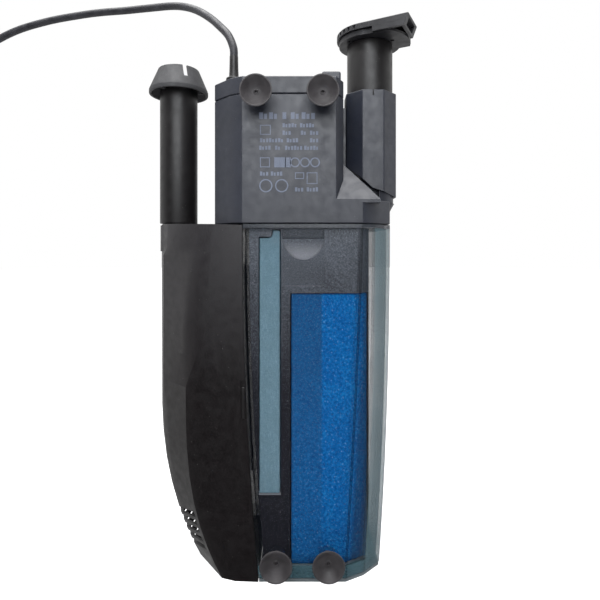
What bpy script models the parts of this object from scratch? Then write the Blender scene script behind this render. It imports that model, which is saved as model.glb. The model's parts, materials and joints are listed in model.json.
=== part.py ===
"""Internal power filter for an aquarium, built as the separate pieces that it comes apart into.

Metres, +Z up. The origin is on the base plane, under the pump head's centre line and at mid depth.
The face that carries the suction cups looks along -Y, the inlet housing is on -X and the outlet on +X.
"""

import math

import bmesh
import bpy
from mathutils import Matrix, Vector

MM = 0.001
GAP = 0.3 * MM
WALL = 2.2 * MM
FINE_EDGE = 0.5 * MM
ROUND_STEPS = 32
SMALL_STEPS = 20

# Body: canister and inlet housing.
FRONT = -36 * MM
BASE_THICK = 2 * MM
BODY_TOP = 215.2 * MM
LEAN_TOP = 215 * MM
SEAM_X = -36.1 * MM
SEAM_LEAN = 9.8 * MM
RIM_DEPTH = 2.6 * MM
RIM_THICK = 3.4 * MM
CORNER_DEPTH = 16 * MM
CANISTER_LEVELS = [0, 25, 50, 80, 115, 150, 185]
HOUSING_LEVELS = [0.2, 8, 18, 30, 44, 60, 78, 96, 115, 135, 155, 175, 196, 201.7]
PROW_X = -94.8 * MM
PROW_LEAN = 24.5 * MM
PROW_BEND_TOP = 115 * MM
FACET_X = -71.8 * MM
FACET_LEAN = 23 * MM
FACET_BEND_TOP = 115 * MM
FACET_TOP_LEAN = 4.8 * MM
SWELL = 2 * MM
SWELL_LEVELS = (196, 201.7)
WINDOW_HALF = 20 * MM
WINDOW_Z = (60 * MM, 190 * MM)

# Inlet slots at the foot of the housing.
SLOT_COUNT = 5
SLOT_LOWEST = 6.6 * MM
SLOT_PITCH = 5.1 * MM
SLOT_HEIGHT = 2.8 * MM
SLOT_REACH = 27 * MM
SLOT_RISE = math.radians(18)

# Side clip on the seam.
CLIP_Z = (98 * MM, 117 * MM)
CLIP_WIDTH = 1.8 * MM

# Skimmer tube and cap.
SKIMMER_X = -83.2 * MM
SKIMMER_RADIUS = 12.3 * MM
SKIMMER_SHOULDER = 217 * MM
SKIMMER_TOP = 309 * MM
SPIGOT_RADIUS = 10.7 * MM
SPIGOT_FOOT = 201.8 * MM
SOCKET_FLOOR = 201 * MM
SOCKET_FOOT = 198.5 * MM
TUBE_BORE = 9.2 * MM
CAP_RIM_Z = 303.5 * MM
CAP_RIM_RADIUS = 19.4 * MM
CAP_TOP_Z = 320 * MM
CAP_TOP_RADIUS = 13.4 * MM
CAP_WALL = 1.6 * MM
CAP_NOTCH = (2.6 * MM, 8 * MM)
CAP_NOTCH_ANGLES = (-60, 60, 180)
CAP_RIB_ANGLES = (0, 120, 240)

# Basket and media inside the canister.
BASKET_FRONT = -32 * MM
BASKET_Z = (4.8 * MM, 213 * MM)
BASKET_RIGHT = 42.6 * MM
FOAM_X = (-7.6 * MM, 41.2 * MM)
FOAM_Z = (7 * MM, 173 * MM)
SHELF_TOP = 177.5 * MM
WOOL_X = (-26.8 * MM, -13.1 * MM)
WOOL_Z = (50 * MM, 207.6 * MM)
WOOL_TAB = (-18.9 * MM, 212 * MM)
MEDIA_HALF = 30.4 * MM
THUMB_X = 0.55 * MM
THUMB_Z = 205 * MM
THUMB_RADIUS = 12.75 * MM
THUMB_TILT = math.radians(14)

# Pump head.
BAND_Z = (215.5 * MM, 230 * MM)
BLOCK_TOP = 293.3 * MM
CAP_BASE = 293.6 * MM
HEAD_TOP = 304 * MM
SIDE_X = 55.5 * MM
BLOCK_RIGHT = 25.5 * MM
MOTOR_FLOOR = 232.5 * MM
SKIRT_CEILING = 219.2 * MM
ROOF_FOOT_X = 47 * MM
ROOF_TOP = (26 * MM, 18 * MM, 254 * MM)
LUG_X = (12 * MM, 23.6 * MM)
LUG_RISE = 5.2 * MM
WEB_HALF = 6 * MM

# Motor and pump.
ROTOR_X = -6 * MM
WELL_BORE = 9.5 * MM
WELL_RADIUS = 11 * MM
WELL_TOP = 283 * MM
CHAMBER_RADIUS = 17 * MM
CHAMBER_TOP = 228.4 * MM
SHAFT_RADIUS = 1 * MM
MAGNET_RADIUS = 8.6 * MM
CORE_X = (-36 * MM, 9 * MM)
CORE_HALF = 15.5 * MM
CORE_Z = (246 * MM, 268 * MM)
CORE_LEG = 8 * MM

# Outlet.
OUTLET_X = 45.5 * MM
SLEEVE_HALF = 16.5 * MM
SLEEVE_TOP = 302.5 * MM
SLEEVE_BORE = 15.4 * MM
SLEEVE_FLOOR = 258 * MM
OUTLET_RADIUS = 15.1 * MM
OUTLET_WALL = 1.7 * MM
OUTLET_Z = (272 * MM, 336 * MM)
OUTLET_SPIGOT = 11 * MM
OUTLET_BORE = 9.2 * MM
DUCT_Z = (221 * MM, 227 * MM)

# Swivelling jet nozzle.
NOZZLE_RADIUS = 22 * MM
NOZZLE_TOP = 343.5 * MM
NOZZLE_SPLIT = 339.8 * MM
NOZZLE_FOOT = 336.3 * MM
SPOUT_REACH = 32 * MM
SPOUT_YAW = math.radians(-27)
SPOUT_FOOT = 336.4 * MM
SPOUT_LEAN = 0.38
LOBE_RADIUS = 27 * MM
RIB_PITCH = math.radians(11)
RIB_COUNT = 15

# Suction cups.
CUP_RADIUS = 9.5 * MM
CUP_PROUD = 13 * MM
CUP_DISH = 4.3 * MM
CUP_NECK = 2.6 * MM
CUPS = {
    "upper_left": (-27 * MM, 291.3 * MM),
    "upper_right": (11.7 * MM, 291.3 * MM),
    "lower_left": (-15.4 * MM, 17.2 * MM),
    "lower_right": (15 * MM, 17.2 * MM),
}

# Power cable: one and a half metres of light cord.
CORD_DIAMETER = 5 * MM
GLAND_AT = (-42.6 * MM, -25.5 * MM)
GLAND_Z = (299 * MM, 319 * MM)
COIL_AT = (-269.5 * MM, -10 * MM)
COIL_RADIUS = 26 * MM
COIL_LIFT = 1 * MM
COIL_LAYERS = 3
LEAD_ROUTE = [
    (-42.6, -25.5, 319.6),
    (-42.9, -25.2, 325),
    (-46.4, -22.0, 334),
    (-52.4, -17.0, 342),
    (-59.8, -10.5, 350.5),
    (-69.5, -2.0, 359.5),
    (-80.0, 6.5, 366.5),
    (-92.0, 14.0, 371),
    (-111, 22.0, 373.5),
    (-130, 27.5, 374.5),
    (-147, 31.0, 375),
    (-164, 34.0, 374.5),
    (-192, 37.0, 371),
    (-219, 38.0, 363),
    (-244, 38.0, 348),
    (-265, 37.5, 326),
    (-281, 37.0, 296),
    (-291, 36.5, 258),
    (-296, 36.0, 215),
    (-298, 35.5, 168),
    (-298.2, 35.5, 120),
    (-298.2, 35.5, 75),
    (-298.2, 35.0, 45),
    (-298.2, 32.5, 28),
    (-298.1, 27.0, 14.5),
    (-298, 18.5, 6.2),
    (-298, 8.0, 3.6),
]
TAIL_ROUTE = [
    (-295.5, -31.5, 12.4),
    (-294.6, -39, 11.4),
    (-291.3, -47, 10.2),
    (-285.8, -53.6, 9),
    (-278.6, -58.2, 7.9),
    (-273, -59.8, 7.3),
    (-267.6, -60, 7.1),
]
PLUG_AT = (-249.3 * MM, -60 * MM)
PLUG_SIZE = (36 * MM, 25 * MM, 13.6 * MM)
PIN_SPACING = 18.6 * MM


# Scene and materials -------------------------------------------------------------------------


def clear_scene():
    for item in list(bpy.data.objects):
        bpy.data.objects.remove(item)


def new_collection(name):
    group = bpy.data.collections.new(name)
    bpy.context.scene.collection.children.link(group)
    return group


def plastic(name, colour, roughness, metallic=0.0, alpha=1.0):
    mat = bpy.data.materials.new(name)
    mat.use_nodes = True
    shader = mat.node_tree.nodes["Principled BSDF"]
    shader.inputs["Base Color"].default_value = (*colour, 1)
    shader.inputs["Roughness"].default_value = roughness
    shader.inputs["Metallic"].default_value = metallic
    shader.inputs["Alpha"].default_value = alpha
    mat.diffuse_color = (*colour, alpha)
    return mat


clear_scene()
PARTS = new_collection("internal_power_filter")
HELPERS = new_collection("internal_power_filter_cutters")

BLACK = plastic("black_plastic", (0.018, 0.018, 0.022), 0.45)
HEAD_BLACK = plastic("head_plastic", (0.045, 0.05, 0.062), 0.42)
CAP_GREY = plastic("cap_grey", (0.13, 0.13, 0.14), 0.6)
SMOKE = plastic("smoke_clear", (0.12, 0.17, 0.17), 0.12, alpha=0.4)
SPECKLED = plastic("basket_plastic", (0.05, 0.055, 0.065), 0.55)
FOAM_BLUE = plastic("foam_blue", (0.0, 0.13, 0.4), 0.95)
WOOL_BLUE = plastic("wool_pale", (0.17, 0.3, 0.38), 0.95)
RUBBER = plastic("cup_rubber", (0.06, 0.055, 0.058), 0.5)
CABLE = plastic("cable_sheath", (0.02, 0.02, 0.022), 0.4)
MAGNET = plastic("ferrite", (0.05, 0.05, 0.05), 0.5, 0.3)
STEEL = plastic("lamination_steel", (0.35, 0.35, 0.36), 0.35, 1.0)
COPPER = plastic("copper_winding", (0.6, 0.25, 0.1), 0.35, 1.0)
NATURAL = plastic("white_plastic", (0.7, 0.7, 0.66), 0.5)
CERAMIC = plastic("shaft_ceramic", (0.8, 0.78, 0.72), 0.25)
BRASS = plastic("pin_brass", (0.7, 0.68, 0.62), 0.25, 1.0)


# Shapes --------------------------------------------------------------------------------------


def object_of(name, bm, mat=None):
    """A finished piece when it has a material, otherwise a hidden helper that cuts or joins."""
    bmesh.ops.recalc_face_normals(bm, faces=bm.faces)
    if bm.calc_volume(signed=True) < 0:
        bmesh.ops.reverse_faces(bm, faces=bm.faces)
    mesh = bpy.data.meshes.new(name)
    bm.to_mesh(mesh)
    bm.free()
    made = bpy.data.objects.new(name, mesh)
    if mat is None:
        HELPERS.objects.link(made)
        made.hide_render = True
        made.display_type = "WIRE"
    else:
        PARTS.objects.link(made)
        mesh.materials.append(mat)
    return made


def smooth(piece, angle=35):
    piece.data.shade_smooth()
    piece.data.set_sharp_from_angle(angle=math.radians(angle))
    return piece


def box(name, low, high, mat=None, tilt=None):
    """A box between two corners, turned about its own centre when a tilt matrix is given."""
    low, high = Vector(low), Vector(high)
    bm = bmesh.new()
    bmesh.ops.create_cube(bm, size=1)
    size = high - low
    place = Matrix.Translation((low + high) / 2)
    turn = tilt.to_4x4() if tilt else Matrix.Identity(4)
    bm.transform(place @ turn @ Matrix.Diagonal((*size, 1)))
    return object_of(name, bm, mat)


def drum(name, centre, z_range, radius, mat=None, top_radius=None, steps=ROUND_STEPS):
    """An upright cylinder or cone about (x, y)."""
    low, high = z_range
    bm = bmesh.new()
    top = radius if top_radius is None else top_radius
    bmesh.ops.create_cone(bm, cap_ends=True, segments=steps, radius1=radius, radius2=top, depth=high - low)
    bm.transform(Matrix.Translation((centre[0], centre[1], (low + high) / 2)))
    made = object_of(name, bm, mat)
    return smooth(made) if mat else made


def drum_y(name, centre, y_range, radius, mat=None, steps=ROUND_STEPS, tilt=0.0):
    """A cylinder along Y about (x, z), leaning by tilt about X."""
    low, high = y_range
    bm = bmesh.new()
    bmesh.ops.create_cone(bm, cap_ends=True, segments=steps, radius1=radius, radius2=radius, depth=high - low)
    turn = Matrix.Rotation(math.pi / 2 + tilt, 4, "X")
    bm.transform(Matrix.Translation((centre[0], (low + high) / 2, centre[1])) @ turn)
    return object_of(name, bm, mat)


def loft(name, rings, mat=None):
    """A closed solid through rings of points. The first and the last ring are closed by flat caps."""
    bm = bmesh.new()
    rows = [[bm.verts.new(point) for point in ring] for ring in rings]
    for lower, upper in zip(rows, rows[1:]):
        count = len(lower)
        for i in range(count):
            j = (i + 1) % count
            bm.faces.new((lower[i], lower[j], upper[j], upper[i]))
    bm.faces.new(reversed(rows[0]))
    bm.faces.new(rows[-1])
    return object_of(name, bm, mat)


def raised(outline, z):
    return [(x, y, z) for x, y in outline]


def prism(name, outline, z_range, mat=None, chamfer=0.0):
    """An upright prism; a chamfer eases its top edge."""
    low, high = z_range
    rings = [raised(outline, low), raised(outline, high - chamfer)]
    if chamfer:
        rings.append(raised(inset(outline, chamfer), high))
    return loft(name, rings, mat)


def wall_prism(name, outline, y_range, mat=None):
    """A flat outline of (x, z) points carried along Y."""
    low, high = y_range
    return loft(name, [[(x, y, z) for x, z in outline] for y in (high, low)], mat)


def turned(name, profile, at, mat, steps=ROUND_STEPS, turn=None):
    """A profile of (radius, height) points spun about the local Z axis by a Screw modifier."""
    bm = bmesh.new()
    points = [bm.verts.new((radius, 0, height)) for radius, height in profile]
    closed = profile[0][0] > 0 and profile[-1][0] > 0
    for first, second in zip(points, points[1:] + points[:1] if closed else points[1:]):
        bm.edges.new((first, second))
    mesh = bpy.data.meshes.new(name)
    bm.to_mesh(mesh)
    bm.free()
    made = bpy.data.objects.new(name, mesh)
    PARTS.objects.link(made)
    mesh.materials.append(mat)
    made.location = at
    if turn:
        made.rotation_euler = turn
    screw = made.modifiers.new("spin", "SCREW")
    screw.steps = screw.render_steps = steps
    screw.use_merge_vertices = True
    screw.merge_threshold = 0.00001
    screw.use_smooth_shade = True
    return made


def ease(piece, width=FINE_EDGE, angle=25, segments=1):
    bevel = piece.modifiers.new("eased_edges", "BEVEL")
    bevel.width = width
    bevel.segments = segments
    bevel.limit_method = "ANGLE"
    bevel.angle_limit = math.radians(angle)
    return piece


def combine(piece, operation, others):
    for other in others:
        step = piece.modifiers.new(other.name, "BOOLEAN")
        step.operation = operation
        step.object = other
    return piece


def cut(piece, *others):
    return combine(piece, "DIFFERENCE", others)


def join(piece, *others):
    return combine(piece, "UNION", others)


def inset(outline, distance):
    """The convex counter-clockwise outline moved inwards by distance."""
    count = len(outline)
    lines = []
    for i in range(count):
        start, end = Vector(outline[i]), Vector(outline[(i + 1) % count])
        along = (end - start).normalized()
        inward = Vector((-along.y, along.x))
        lines.append((start + inward * distance, along))
    points = []
    for i in range(count):
        (a, u), (b, v) = lines[i - 1], lines[i]
        cross = u.x * v.y - u.y * v.x
        step = ((b - a).x * v.y - (b - a).y * v.x) / cross
        points.append(tuple(a + u * step))
    return points


def mirrored(half):
    """A front half of (x, depth behind the face) points closed by its mirror image at the back."""
    front = [(x, FRONT + depth) for x, depth in half]
    return front + [(x, -y) for x, y in reversed(front)]


def lean(z, shift, top, power):
    """How far an outline has moved in at height z: shift at the base, nothing above top."""
    return shift * max(0.0, 1 - z / top) ** power


def polar(radius, angle, centre=(0.0, 0.0)):
    return (centre[0] + radius * math.cos(angle), centre[1] + radius * math.sin(angle))


# Body outlines -------------------------------------------------------------------------------


def seam_x(z):
    return SEAM_X + lean(z, SEAM_LEAN, LEAN_TOP, 2)


def face_edge_x(z):
    return 36.2 * MM - lean(z, 10.2 * MM, LEAN_TOP, 1.3)


def canister_outline(z):
    low = max(0.0, 1 - z / LEAN_TOP)
    middle = (44 * MM - lean(z, 6.4 * MM, LEAN_TOP, 2), (4 + 2 * low) * MM)
    corner = (SIDE_X - lean(z, 7.1 * MM, LEAN_TOP, 2.2), CORNER_DEPTH)
    return mirrored([(seam_x(z), 0), (face_edge_x(z), 0), middle, corner])


def housing_outline(z, swelling=False):
    """Counter-clockwise from the prow; above the swell the flat facet gives way to a shallow curve."""
    right = seam_x(z) - GAP
    upper = max(0.0, z - FACET_BEND_TOP) / (SWELL_LEVELS[0] * MM - FACET_BEND_TOP)
    edge = FACET_X + lean(z, FACET_LEAN, FACET_BEND_TOP, 3) + FACET_TOP_LEAN * upper**2
    prow = PROW_X + lean(z, PROW_LEAN, PROW_BEND_TOP, 2.7)
    shoulder = right + 0.62 * (edge - right)
    crease_depth = 7 * MM - lean(z, 3.5 * MM, FACET_BEND_TOP, 3)
    corner, crease = (prow + 4 * MM, 26 * MM), (edge, crease_depth)
    facet = []
    if swelling:
        swell = SWELL if z > SWELL_LEVELS[0] * MM + GAP else 0
        for share in (0.2, 0.4, 0.6, 0.8):
            proud = swell * 4 * share * (1 - share) * math.sqrt(0.5)
            facet.append(tuple(a + (b - a) * share - proud for a, b in zip(corner, crease)))
    half = [(prow, -FRONT), corner, *facet, crease, (shoulder, 0.21 * crease_depth), (right, 0)]
    outline = mirrored(half)
    # The prow's point is shared by the two halves.
    return outline[:-1]


def housing_top_z(x):
    """The housing's roof rises gently away from the seam."""
    return 214.5 * MM + 1.9 * MM * (SEAM_X - x) / (58 * MM)


def basket_outline(z):
    left = seam_x(z) + WALL + 0.5 * MM
    face = face_edge_x(z) - 1.5 * MM
    depth = BASKET_FRONT - FRONT
    return mirrored([(left, depth), (face, depth), (BASKET_RIGHT, 13.6 * MM)])


def head_outline(right_points):
    left_points = [(-SIDE_X, CORNER_DEPTH), (-44 * MM, 4 * MM), (-36.4 * MM, 0)]
    return mirrored(left_points + right_points)


BAND_OUTLINE = head_outline([(36.4 * MM, 0), (44 * MM, 4 * MM), (SIDE_X, CORNER_DEPTH)])
BLOCK_OUTLINE = head_outline([(20.6 * MM, 0), (BLOCK_RIGHT, 10 * MM)])


# Canister and base ---------------------------------------------------------------------------


def make_base_plate():
    ring = inset(canister_outline(0), 0.2 * MM)
    prism("base_plate", ring, (0, BASE_THICK), BLACK)


def make_canister():
    foot = BASE_THICK + GAP
    heights = [foot] + [z * MM for z in CANISTER_LEVELS[1:]] + [BODY_TOP]
    outer = [raised(canister_outline(z), z) for z in heights]
    rim = BODY_TOP - RIM_DEPTH
    inner = [raised(inset(canister_outline(z), RIM_THICK), z) for z in (BODY_TOP, rim)]
    inner += [raised(inset(canister_outline(z), WALL), z) for z in [rim - 0.2 * MM, *reversed(heights[1:-1])]]
    inner.append(raised(inset(canister_outline(foot), WALL), foot + WALL))
    shell = loft("canister_shell", outer + inner, SMOKE)
    low, high = WINDOW_Z
    window = box("canister_window_cut", (-50 * MM, -WINDOW_HALF, low), (-20 * MM, WINDOW_HALF, high))
    cut(shell, window)


# Basket, foam and wool -----------------------------------------------------------------------


def make_basket():
    low, high = BASKET_Z
    heights = [low] + [z * MM for z in CANISTER_LEVELS[1:]] + [high]
    # Above the rim's step the basket is narrow enough to pass the rim when it is lifted out.
    basket = loft("media_basket", [raised(inset(basket_outline(z), 0.9 * MM), z) for z in heights], SPECKLED)
    wide = 60 * MM
    foam_room = box("foam_room_cut", (FOAM_X[0], -wide, FOAM_Z[0] - GAP), (FOAM_X[1], wide, FOAM_Z[1]))
    wool_room = box("wool_room_cut", (WOOL_X[0], -wide, WOOL_Z[0]), (WOOL_X[1], wide, WOOL_Z[1]))
    tab_room = box("wool_tab_cut", (WOOL_TAB[0], -wide, WOOL_Z[1] - MM), (WOOL_X[1], wide, WOOL_TAB[1]))
    upper_room = box("upper_room_cut", (-6 * MM, -23 * MM, SHELF_TOP), (37 * MM, 23 * MM, 220 * MM))
    divider_port = box("divider_port_cut", (-15 * MM, -20 * MM, 62 * MM), (-6 * MM, 20 * MM, 165 * MM))
    inlet_port = box("inlet_port_cut", (-40 * MM, -18 * MM, 64 * MM), (-25 * MM, 18 * MM, 186 * MM))
    shelf_ports = [
        box(f"shelf_port_cut_{i}", ((-2 + 13 * i) * MM, -18 * MM, 170 * MM), ((6 + 13 * i) * MM, 18 * MM, 180 * MM))
        for i in range(3)
    ]
    thumb = drum_y("thumb_cut", (THUMB_X, THUMB_Z), (-44 * MM, -30.6 * MM), THUMB_RADIUS, tilt=THUMB_TILT)
    thumb_top = box(
        "thumb_top_cut",
        (THUMB_X - THUMB_RADIUS, -44 * MM, THUMB_Z),
        (THUMB_X + THUMB_RADIUS, -29 * MM, 225 * MM),
        tilt=Matrix.Rotation(THUMB_TILT, 3, "X"),
    )
    panel = box("panel_step_cut", (WOOL_X[1], -40 * MM, SHELF_TOP), (13.3 * MM, -30.75 * MM, 220 * MM))
    cut(basket, foam_room, wool_room, tab_room, upper_room, divider_port, inlet_port, *shelf_ports)
    cut(basket, thumb, thumb_top, panel)


def make_media():
    left, right = FOAM_X[0] + GAP, FOAM_X[1] - GAP
    rings = []
    for z in (FOAM_Z[0], 50 * MM, 110 * MM, FOAM_Z[1] - GAP):
        face = min(face_edge_x(z) - 2.4 * MM, right - MM)
        half = [(left, -MEDIA_HALF), (face, -MEDIA_HALF), (right, -22 * MM)]
        rings.append(raised(half + [(x, -y) for x, y in reversed(half)], z))
    loft("foam_sponge", rings, FOAM_BLUE)
    left, right = WOOL_X[0] + GAP, WOOL_X[1] - GAP
    low, high = WOOL_Z[0] + GAP, WOOL_Z[1] - GAP
    outline = [(left, low), (right, low), (right, WOOL_TAB[1] - GAP)]
    outline += [(WOOL_TAB[0] + GAP, WOOL_TAB[1] - GAP), (WOOL_TAB[0] + GAP, high), (left, high)]
    wall_prism("wool_pad", outline, (-MEDIA_HALF, MEDIA_HALF), WOOL_BLUE)


# Inlet housing -------------------------------------------------------------------------------


def make_intake_housing():
    heights = [z * MM for z in HOUSING_LEVELS]
    outer = [raised(housing_outline(z, swelling=True), z) for z in heights]
    top = [(x, y, housing_top_z(x)) for x, y in housing_outline(LEAN_TOP, swelling=True)]
    housing = loft("intake_housing", outer + [top], BLACK)
    room_heights = [heights[0] + WALL] + heights[1:]
    inner = [raised(inset(housing_outline(z), 2 * MM), z) for z in room_heights]
    roof = [(x, y, housing_top_z(x) - WALL) for x, y in inset(housing_outline(LEAN_TOP), 2 * MM)]
    room = loft("housing_room_cut", inner + [roof])
    centre = (SKIMMER_X, 0)
    bulge = drum("housing_socket", centre, (SOCKET_FOOT, housing_top_z(SKIMMER_X) - 0.4 * MM), 12 * MM)
    bore = drum("socket_bore_cut", centre, (SOCKET_FLOOR, 225 * MM), SPIGOT_RADIUS + GAP)
    throat = drum("socket_throat_cut", centre, (190 * MM, 205 * MM), 8 * MM, steps=SMALL_STEPS)
    low, high = WINDOW_Z
    window = box("housing_window_cut", (-45 * MM, -WINDOW_HALF, low), (-20 * MM, WINDOW_HALF, high))
    cut(housing, room)
    join(housing, bulge)
    cut(housing, bore, throat, window, *inlet_slots(), clip_slot())


def inlet_slots():
    """Cutters that wrap round the prow and rise towards the front and the back."""
    slots = []
    for i in range(SLOT_COUNT):
        z = SLOT_LOWEST + i * SLOT_PITCH
        for side in (-1, 1):
            length = SLOT_REACH / math.cos(SLOT_RISE) + MM
            middle_y = side * SLOT_REACH / 2
            middle_z = z + abs(middle_y) * math.tan(SLOT_RISE)
            low = (-100 * MM, middle_y - length / 2, middle_z - SLOT_HEIGHT / 2)
            high = (-58 * MM, middle_y + length / 2, middle_z + SLOT_HEIGHT / 2)
            turn = Matrix.Rotation(side * SLOT_RISE, 3, "X")
            slots.append(box(f"inlet_slot_cut_{i}_{'front' if side < 0 else 'back'}", low, high, tilt=turn))
    return slots


def clip_slot():
    low, high = CLIP_Z
    right = seam_x((low + high) / 2)
    size = (right - 3.4 * MM, FRONT - 5 * MM, low - 0.4 * MM), (right + 2 * MM, FRONT + 1.3 * MM, high + 4 * MM)
    return box("clip_slot_cut", *size)


def make_side_clip():
    low, high = CLIP_Z
    right = seam_x((low + high) / 2) - 1 * MM
    clip = box("side_clip", (right - CLIP_WIDTH, FRONT - 0.5 * MM, low), (right, FRONT + 1 * MM, high), BLACK)
    ease(clip, 0.25 * MM)


# Skimmer -------------------------------------------------------------------------------------


def make_skimmer():
    profile = [
        (SKIMMER_RADIUS, SKIMMER_TOP),
        (SKIMMER_RADIUS, SKIMMER_SHOULDER),
        (SPIGOT_RADIUS, SKIMMER_SHOULDER),
        (SPIGOT_RADIUS, SPIGOT_FOOT),
        (TUBE_BORE, SPIGOT_FOOT),
        (TUBE_BORE, SKIMMER_SHOULDER),
        (SKIMMER_RADIUS - 1.6 * MM, SKIMMER_SHOULDER + 4 * MM),
        (SKIMMER_RADIUS - 1.6 * MM, SKIMMER_TOP),
    ]
    turned("skimmer_tube", profile, (SKIMMER_X, 0, 0), BLACK)


def make_skimmer_cap():
    band_top = CAP_RIM_Z + 2.5 * MM
    profile = [
        (CAP_TOP_RADIUS, CAP_TOP_Z),
        (CAP_RIM_RADIUS, band_top),
        (CAP_RIM_RADIUS, CAP_RIM_Z),
        (CAP_RIM_RADIUS - CAP_WALL, CAP_RIM_Z),
        (CAP_RIM_RADIUS - CAP_WALL, band_top - 0.4 * MM),
        (CAP_TOP_RADIUS - CAP_WALL, CAP_TOP_Z),
    ]
    cap = turned("skimmer_cap", profile, (SKIMMER_X, 0, 0), CAP_GREY, steps=36)
    ribs = []
    for angle in CAP_RIB_ANGLES:
        turn = Matrix.Rotation(math.radians(angle), 4, "Z")
        rib = box(f"cap_rib_{angle}", (SKIMMER_RADIUS + GAP, -0.8 * MM, 304.2 * MM), (16.6 * MM, 0.8 * MM, 311 * MM))
        rib.data.transform(Matrix.Translation((SKIMMER_X, 0, 0)) @ turn)
        ribs.append(rib)
    wide, deep = CAP_NOTCH
    notches = []
    for angle in CAP_NOTCH_ANGLES:
        turn = Matrix.Rotation(math.radians(angle), 4, "Z")
        notch = box(f"cap_notch_cut_{angle}", (8 * MM, -wide / 2, CAP_TOP_Z - deep), (24 * MM, wide / 2, 325 * MM))
        notch.data.transform(Matrix.Translation((SKIMMER_X, 0, 0)) @ turn)
        notches.append(notch)
    cut(join(cap, *ribs), *notches)


# Pump head -----------------------------------------------------------------------------------


def gusset():
    """The sloping shoulder between the motor block and the foot of the outlet sleeve."""
    top_x, top_y, top_z = ROOF_TOP
    inner_x = 10 * MM
    sunk = BAND_Z[1] - 2 * MM
    near = [(inner_x, FRONT, sunk), (ROOF_FOOT_X, FRONT, sunk), (ROOF_FOOT_X, -FRONT, sunk), (inner_x, -FRONT, sunk)]
    brim = [(x, y, BAND_Z[1]) for x, y, _ in near]
    peak = [(inner_x, -top_y, top_z), (top_x, -top_y, top_z), (top_x, top_y, top_z), (inner_x, top_y, top_z)]
    return loft("gusset", [near, brim, peak])


def make_motor_housing():
    band_low, band_high = BAND_Z
    housing = ease(prism("motor_housing", BAND_OUTLINE, BAND_Z, HEAD_BLACK))
    block = ease(prism("motor_block", BLOCK_OUTLINE, (band_high - MM, BLOCK_TOP)))
    fairing = drum("outlet_fairing", (OUTLET_X, 0), (218 * MM, band_high), 9.6 * MM, top_radius=16.2 * MM)
    web_right = OUTLET_X - SLEEVE_HALF - GAP
    web = box("sleeve_web", (BLOCK_RIGHT - MM, -WEB_HALF, band_high), (web_right, WEB_HALF, BLOCK_TOP))
    join(housing, block, gusset(), fairing, web)

    skirt = prism("skirt_cut", inset(BAND_OUTLINE, WALL), (band_low - 3 * MM, SKIRT_CEILING))
    motor_room = prism("motor_room_cut", inset(BLOCK_OUTLINE, WALL), (MOTOR_FLOOR, BLOCK_TOP + 3 * MM))
    well = drum("rotor_well", (ROTOR_X, 0), (MOTOR_FLOOR - MM, WELL_TOP + 2 * MM), WELL_RADIUS)
    cut(housing, skirt, motor_room)
    join(housing, well)

    chamber = drum("pump_chamber_cut", (ROTOR_X, 0), (SKIRT_CEILING - MM, CHAMBER_TOP), CHAMBER_RADIUS)
    bore = drum("rotor_bore_cut", (ROTOR_X, 0), (CHAMBER_TOP - MM, WELL_TOP), WELL_BORE)
    duct = box("outlet_duct_cut", (ROTOR_X, -6 * MM, DUCT_Z[0]), (OUTLET_X, 6 * MM, DUCT_Z[1]))
    socket = drum("outlet_socket_cut", (OUTLET_X, 0), (DUCT_Z[0], 260 * MM), OUTLET_SPIGOT + GAP)
    cut(housing, chamber, bore, duct, socket)


def make_motor_cap():
    cap = ease(prism("motor_cap", BLOCK_OUTLINE, (CAP_BASE, HEAD_TOP), HEAD_BLACK))
    room = prism("cap_room_cut", inset(BLOCK_OUTLINE, WALL), (CAP_BASE - 2 * MM, HEAD_TOP - WALL))
    lug = box("cap_lug", (LUG_X[0], -30 * MM, HEAD_TOP - MM), (LUG_X[1], -4 * MM, HEAD_TOP + LUG_RISE))
    ease(lug, 1.2 * MM, segments=2)
    cable_hole = drum("cable_hole_cut", GLAND_AT, (297 * MM, 310 * MM), 3.9 * MM, steps=SMALL_STEPS)
    cut(join(cut(cap, room), lug), cable_hole)


def make_volute_cover():
    eye = 9 * MM
    cover = drum("volute_cover", (ROTOR_X, 0), (216.6 * MM, SKIRT_CEILING - GAP), 21 * MM, HEAD_BLACK)
    hole = drum("suction_eye_cut", (ROTOR_X, 0), (210 * MM, 225 * MM), eye, steps=24)
    bar = box("eye_bridge", (ROTOR_X - 12 * MM, -1.5 * MM, 216.6 * MM), (ROTOR_X + 12 * MM, 1.5 * MM, 218.6 * MM))
    hub = drum("eye_hub", (ROTOR_X, 0), (216.6 * MM, 218.6 * MM), 4.2 * MM, steps=SMALL_STEPS)
    seat = drum("bushing_seat_cut", (ROTOR_X, 0), (217.6 * MM, 225 * MM), 2.9 * MM, steps=SMALL_STEPS)
    cut(join(cut(cover, hole), bar, hub), seat)


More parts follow.
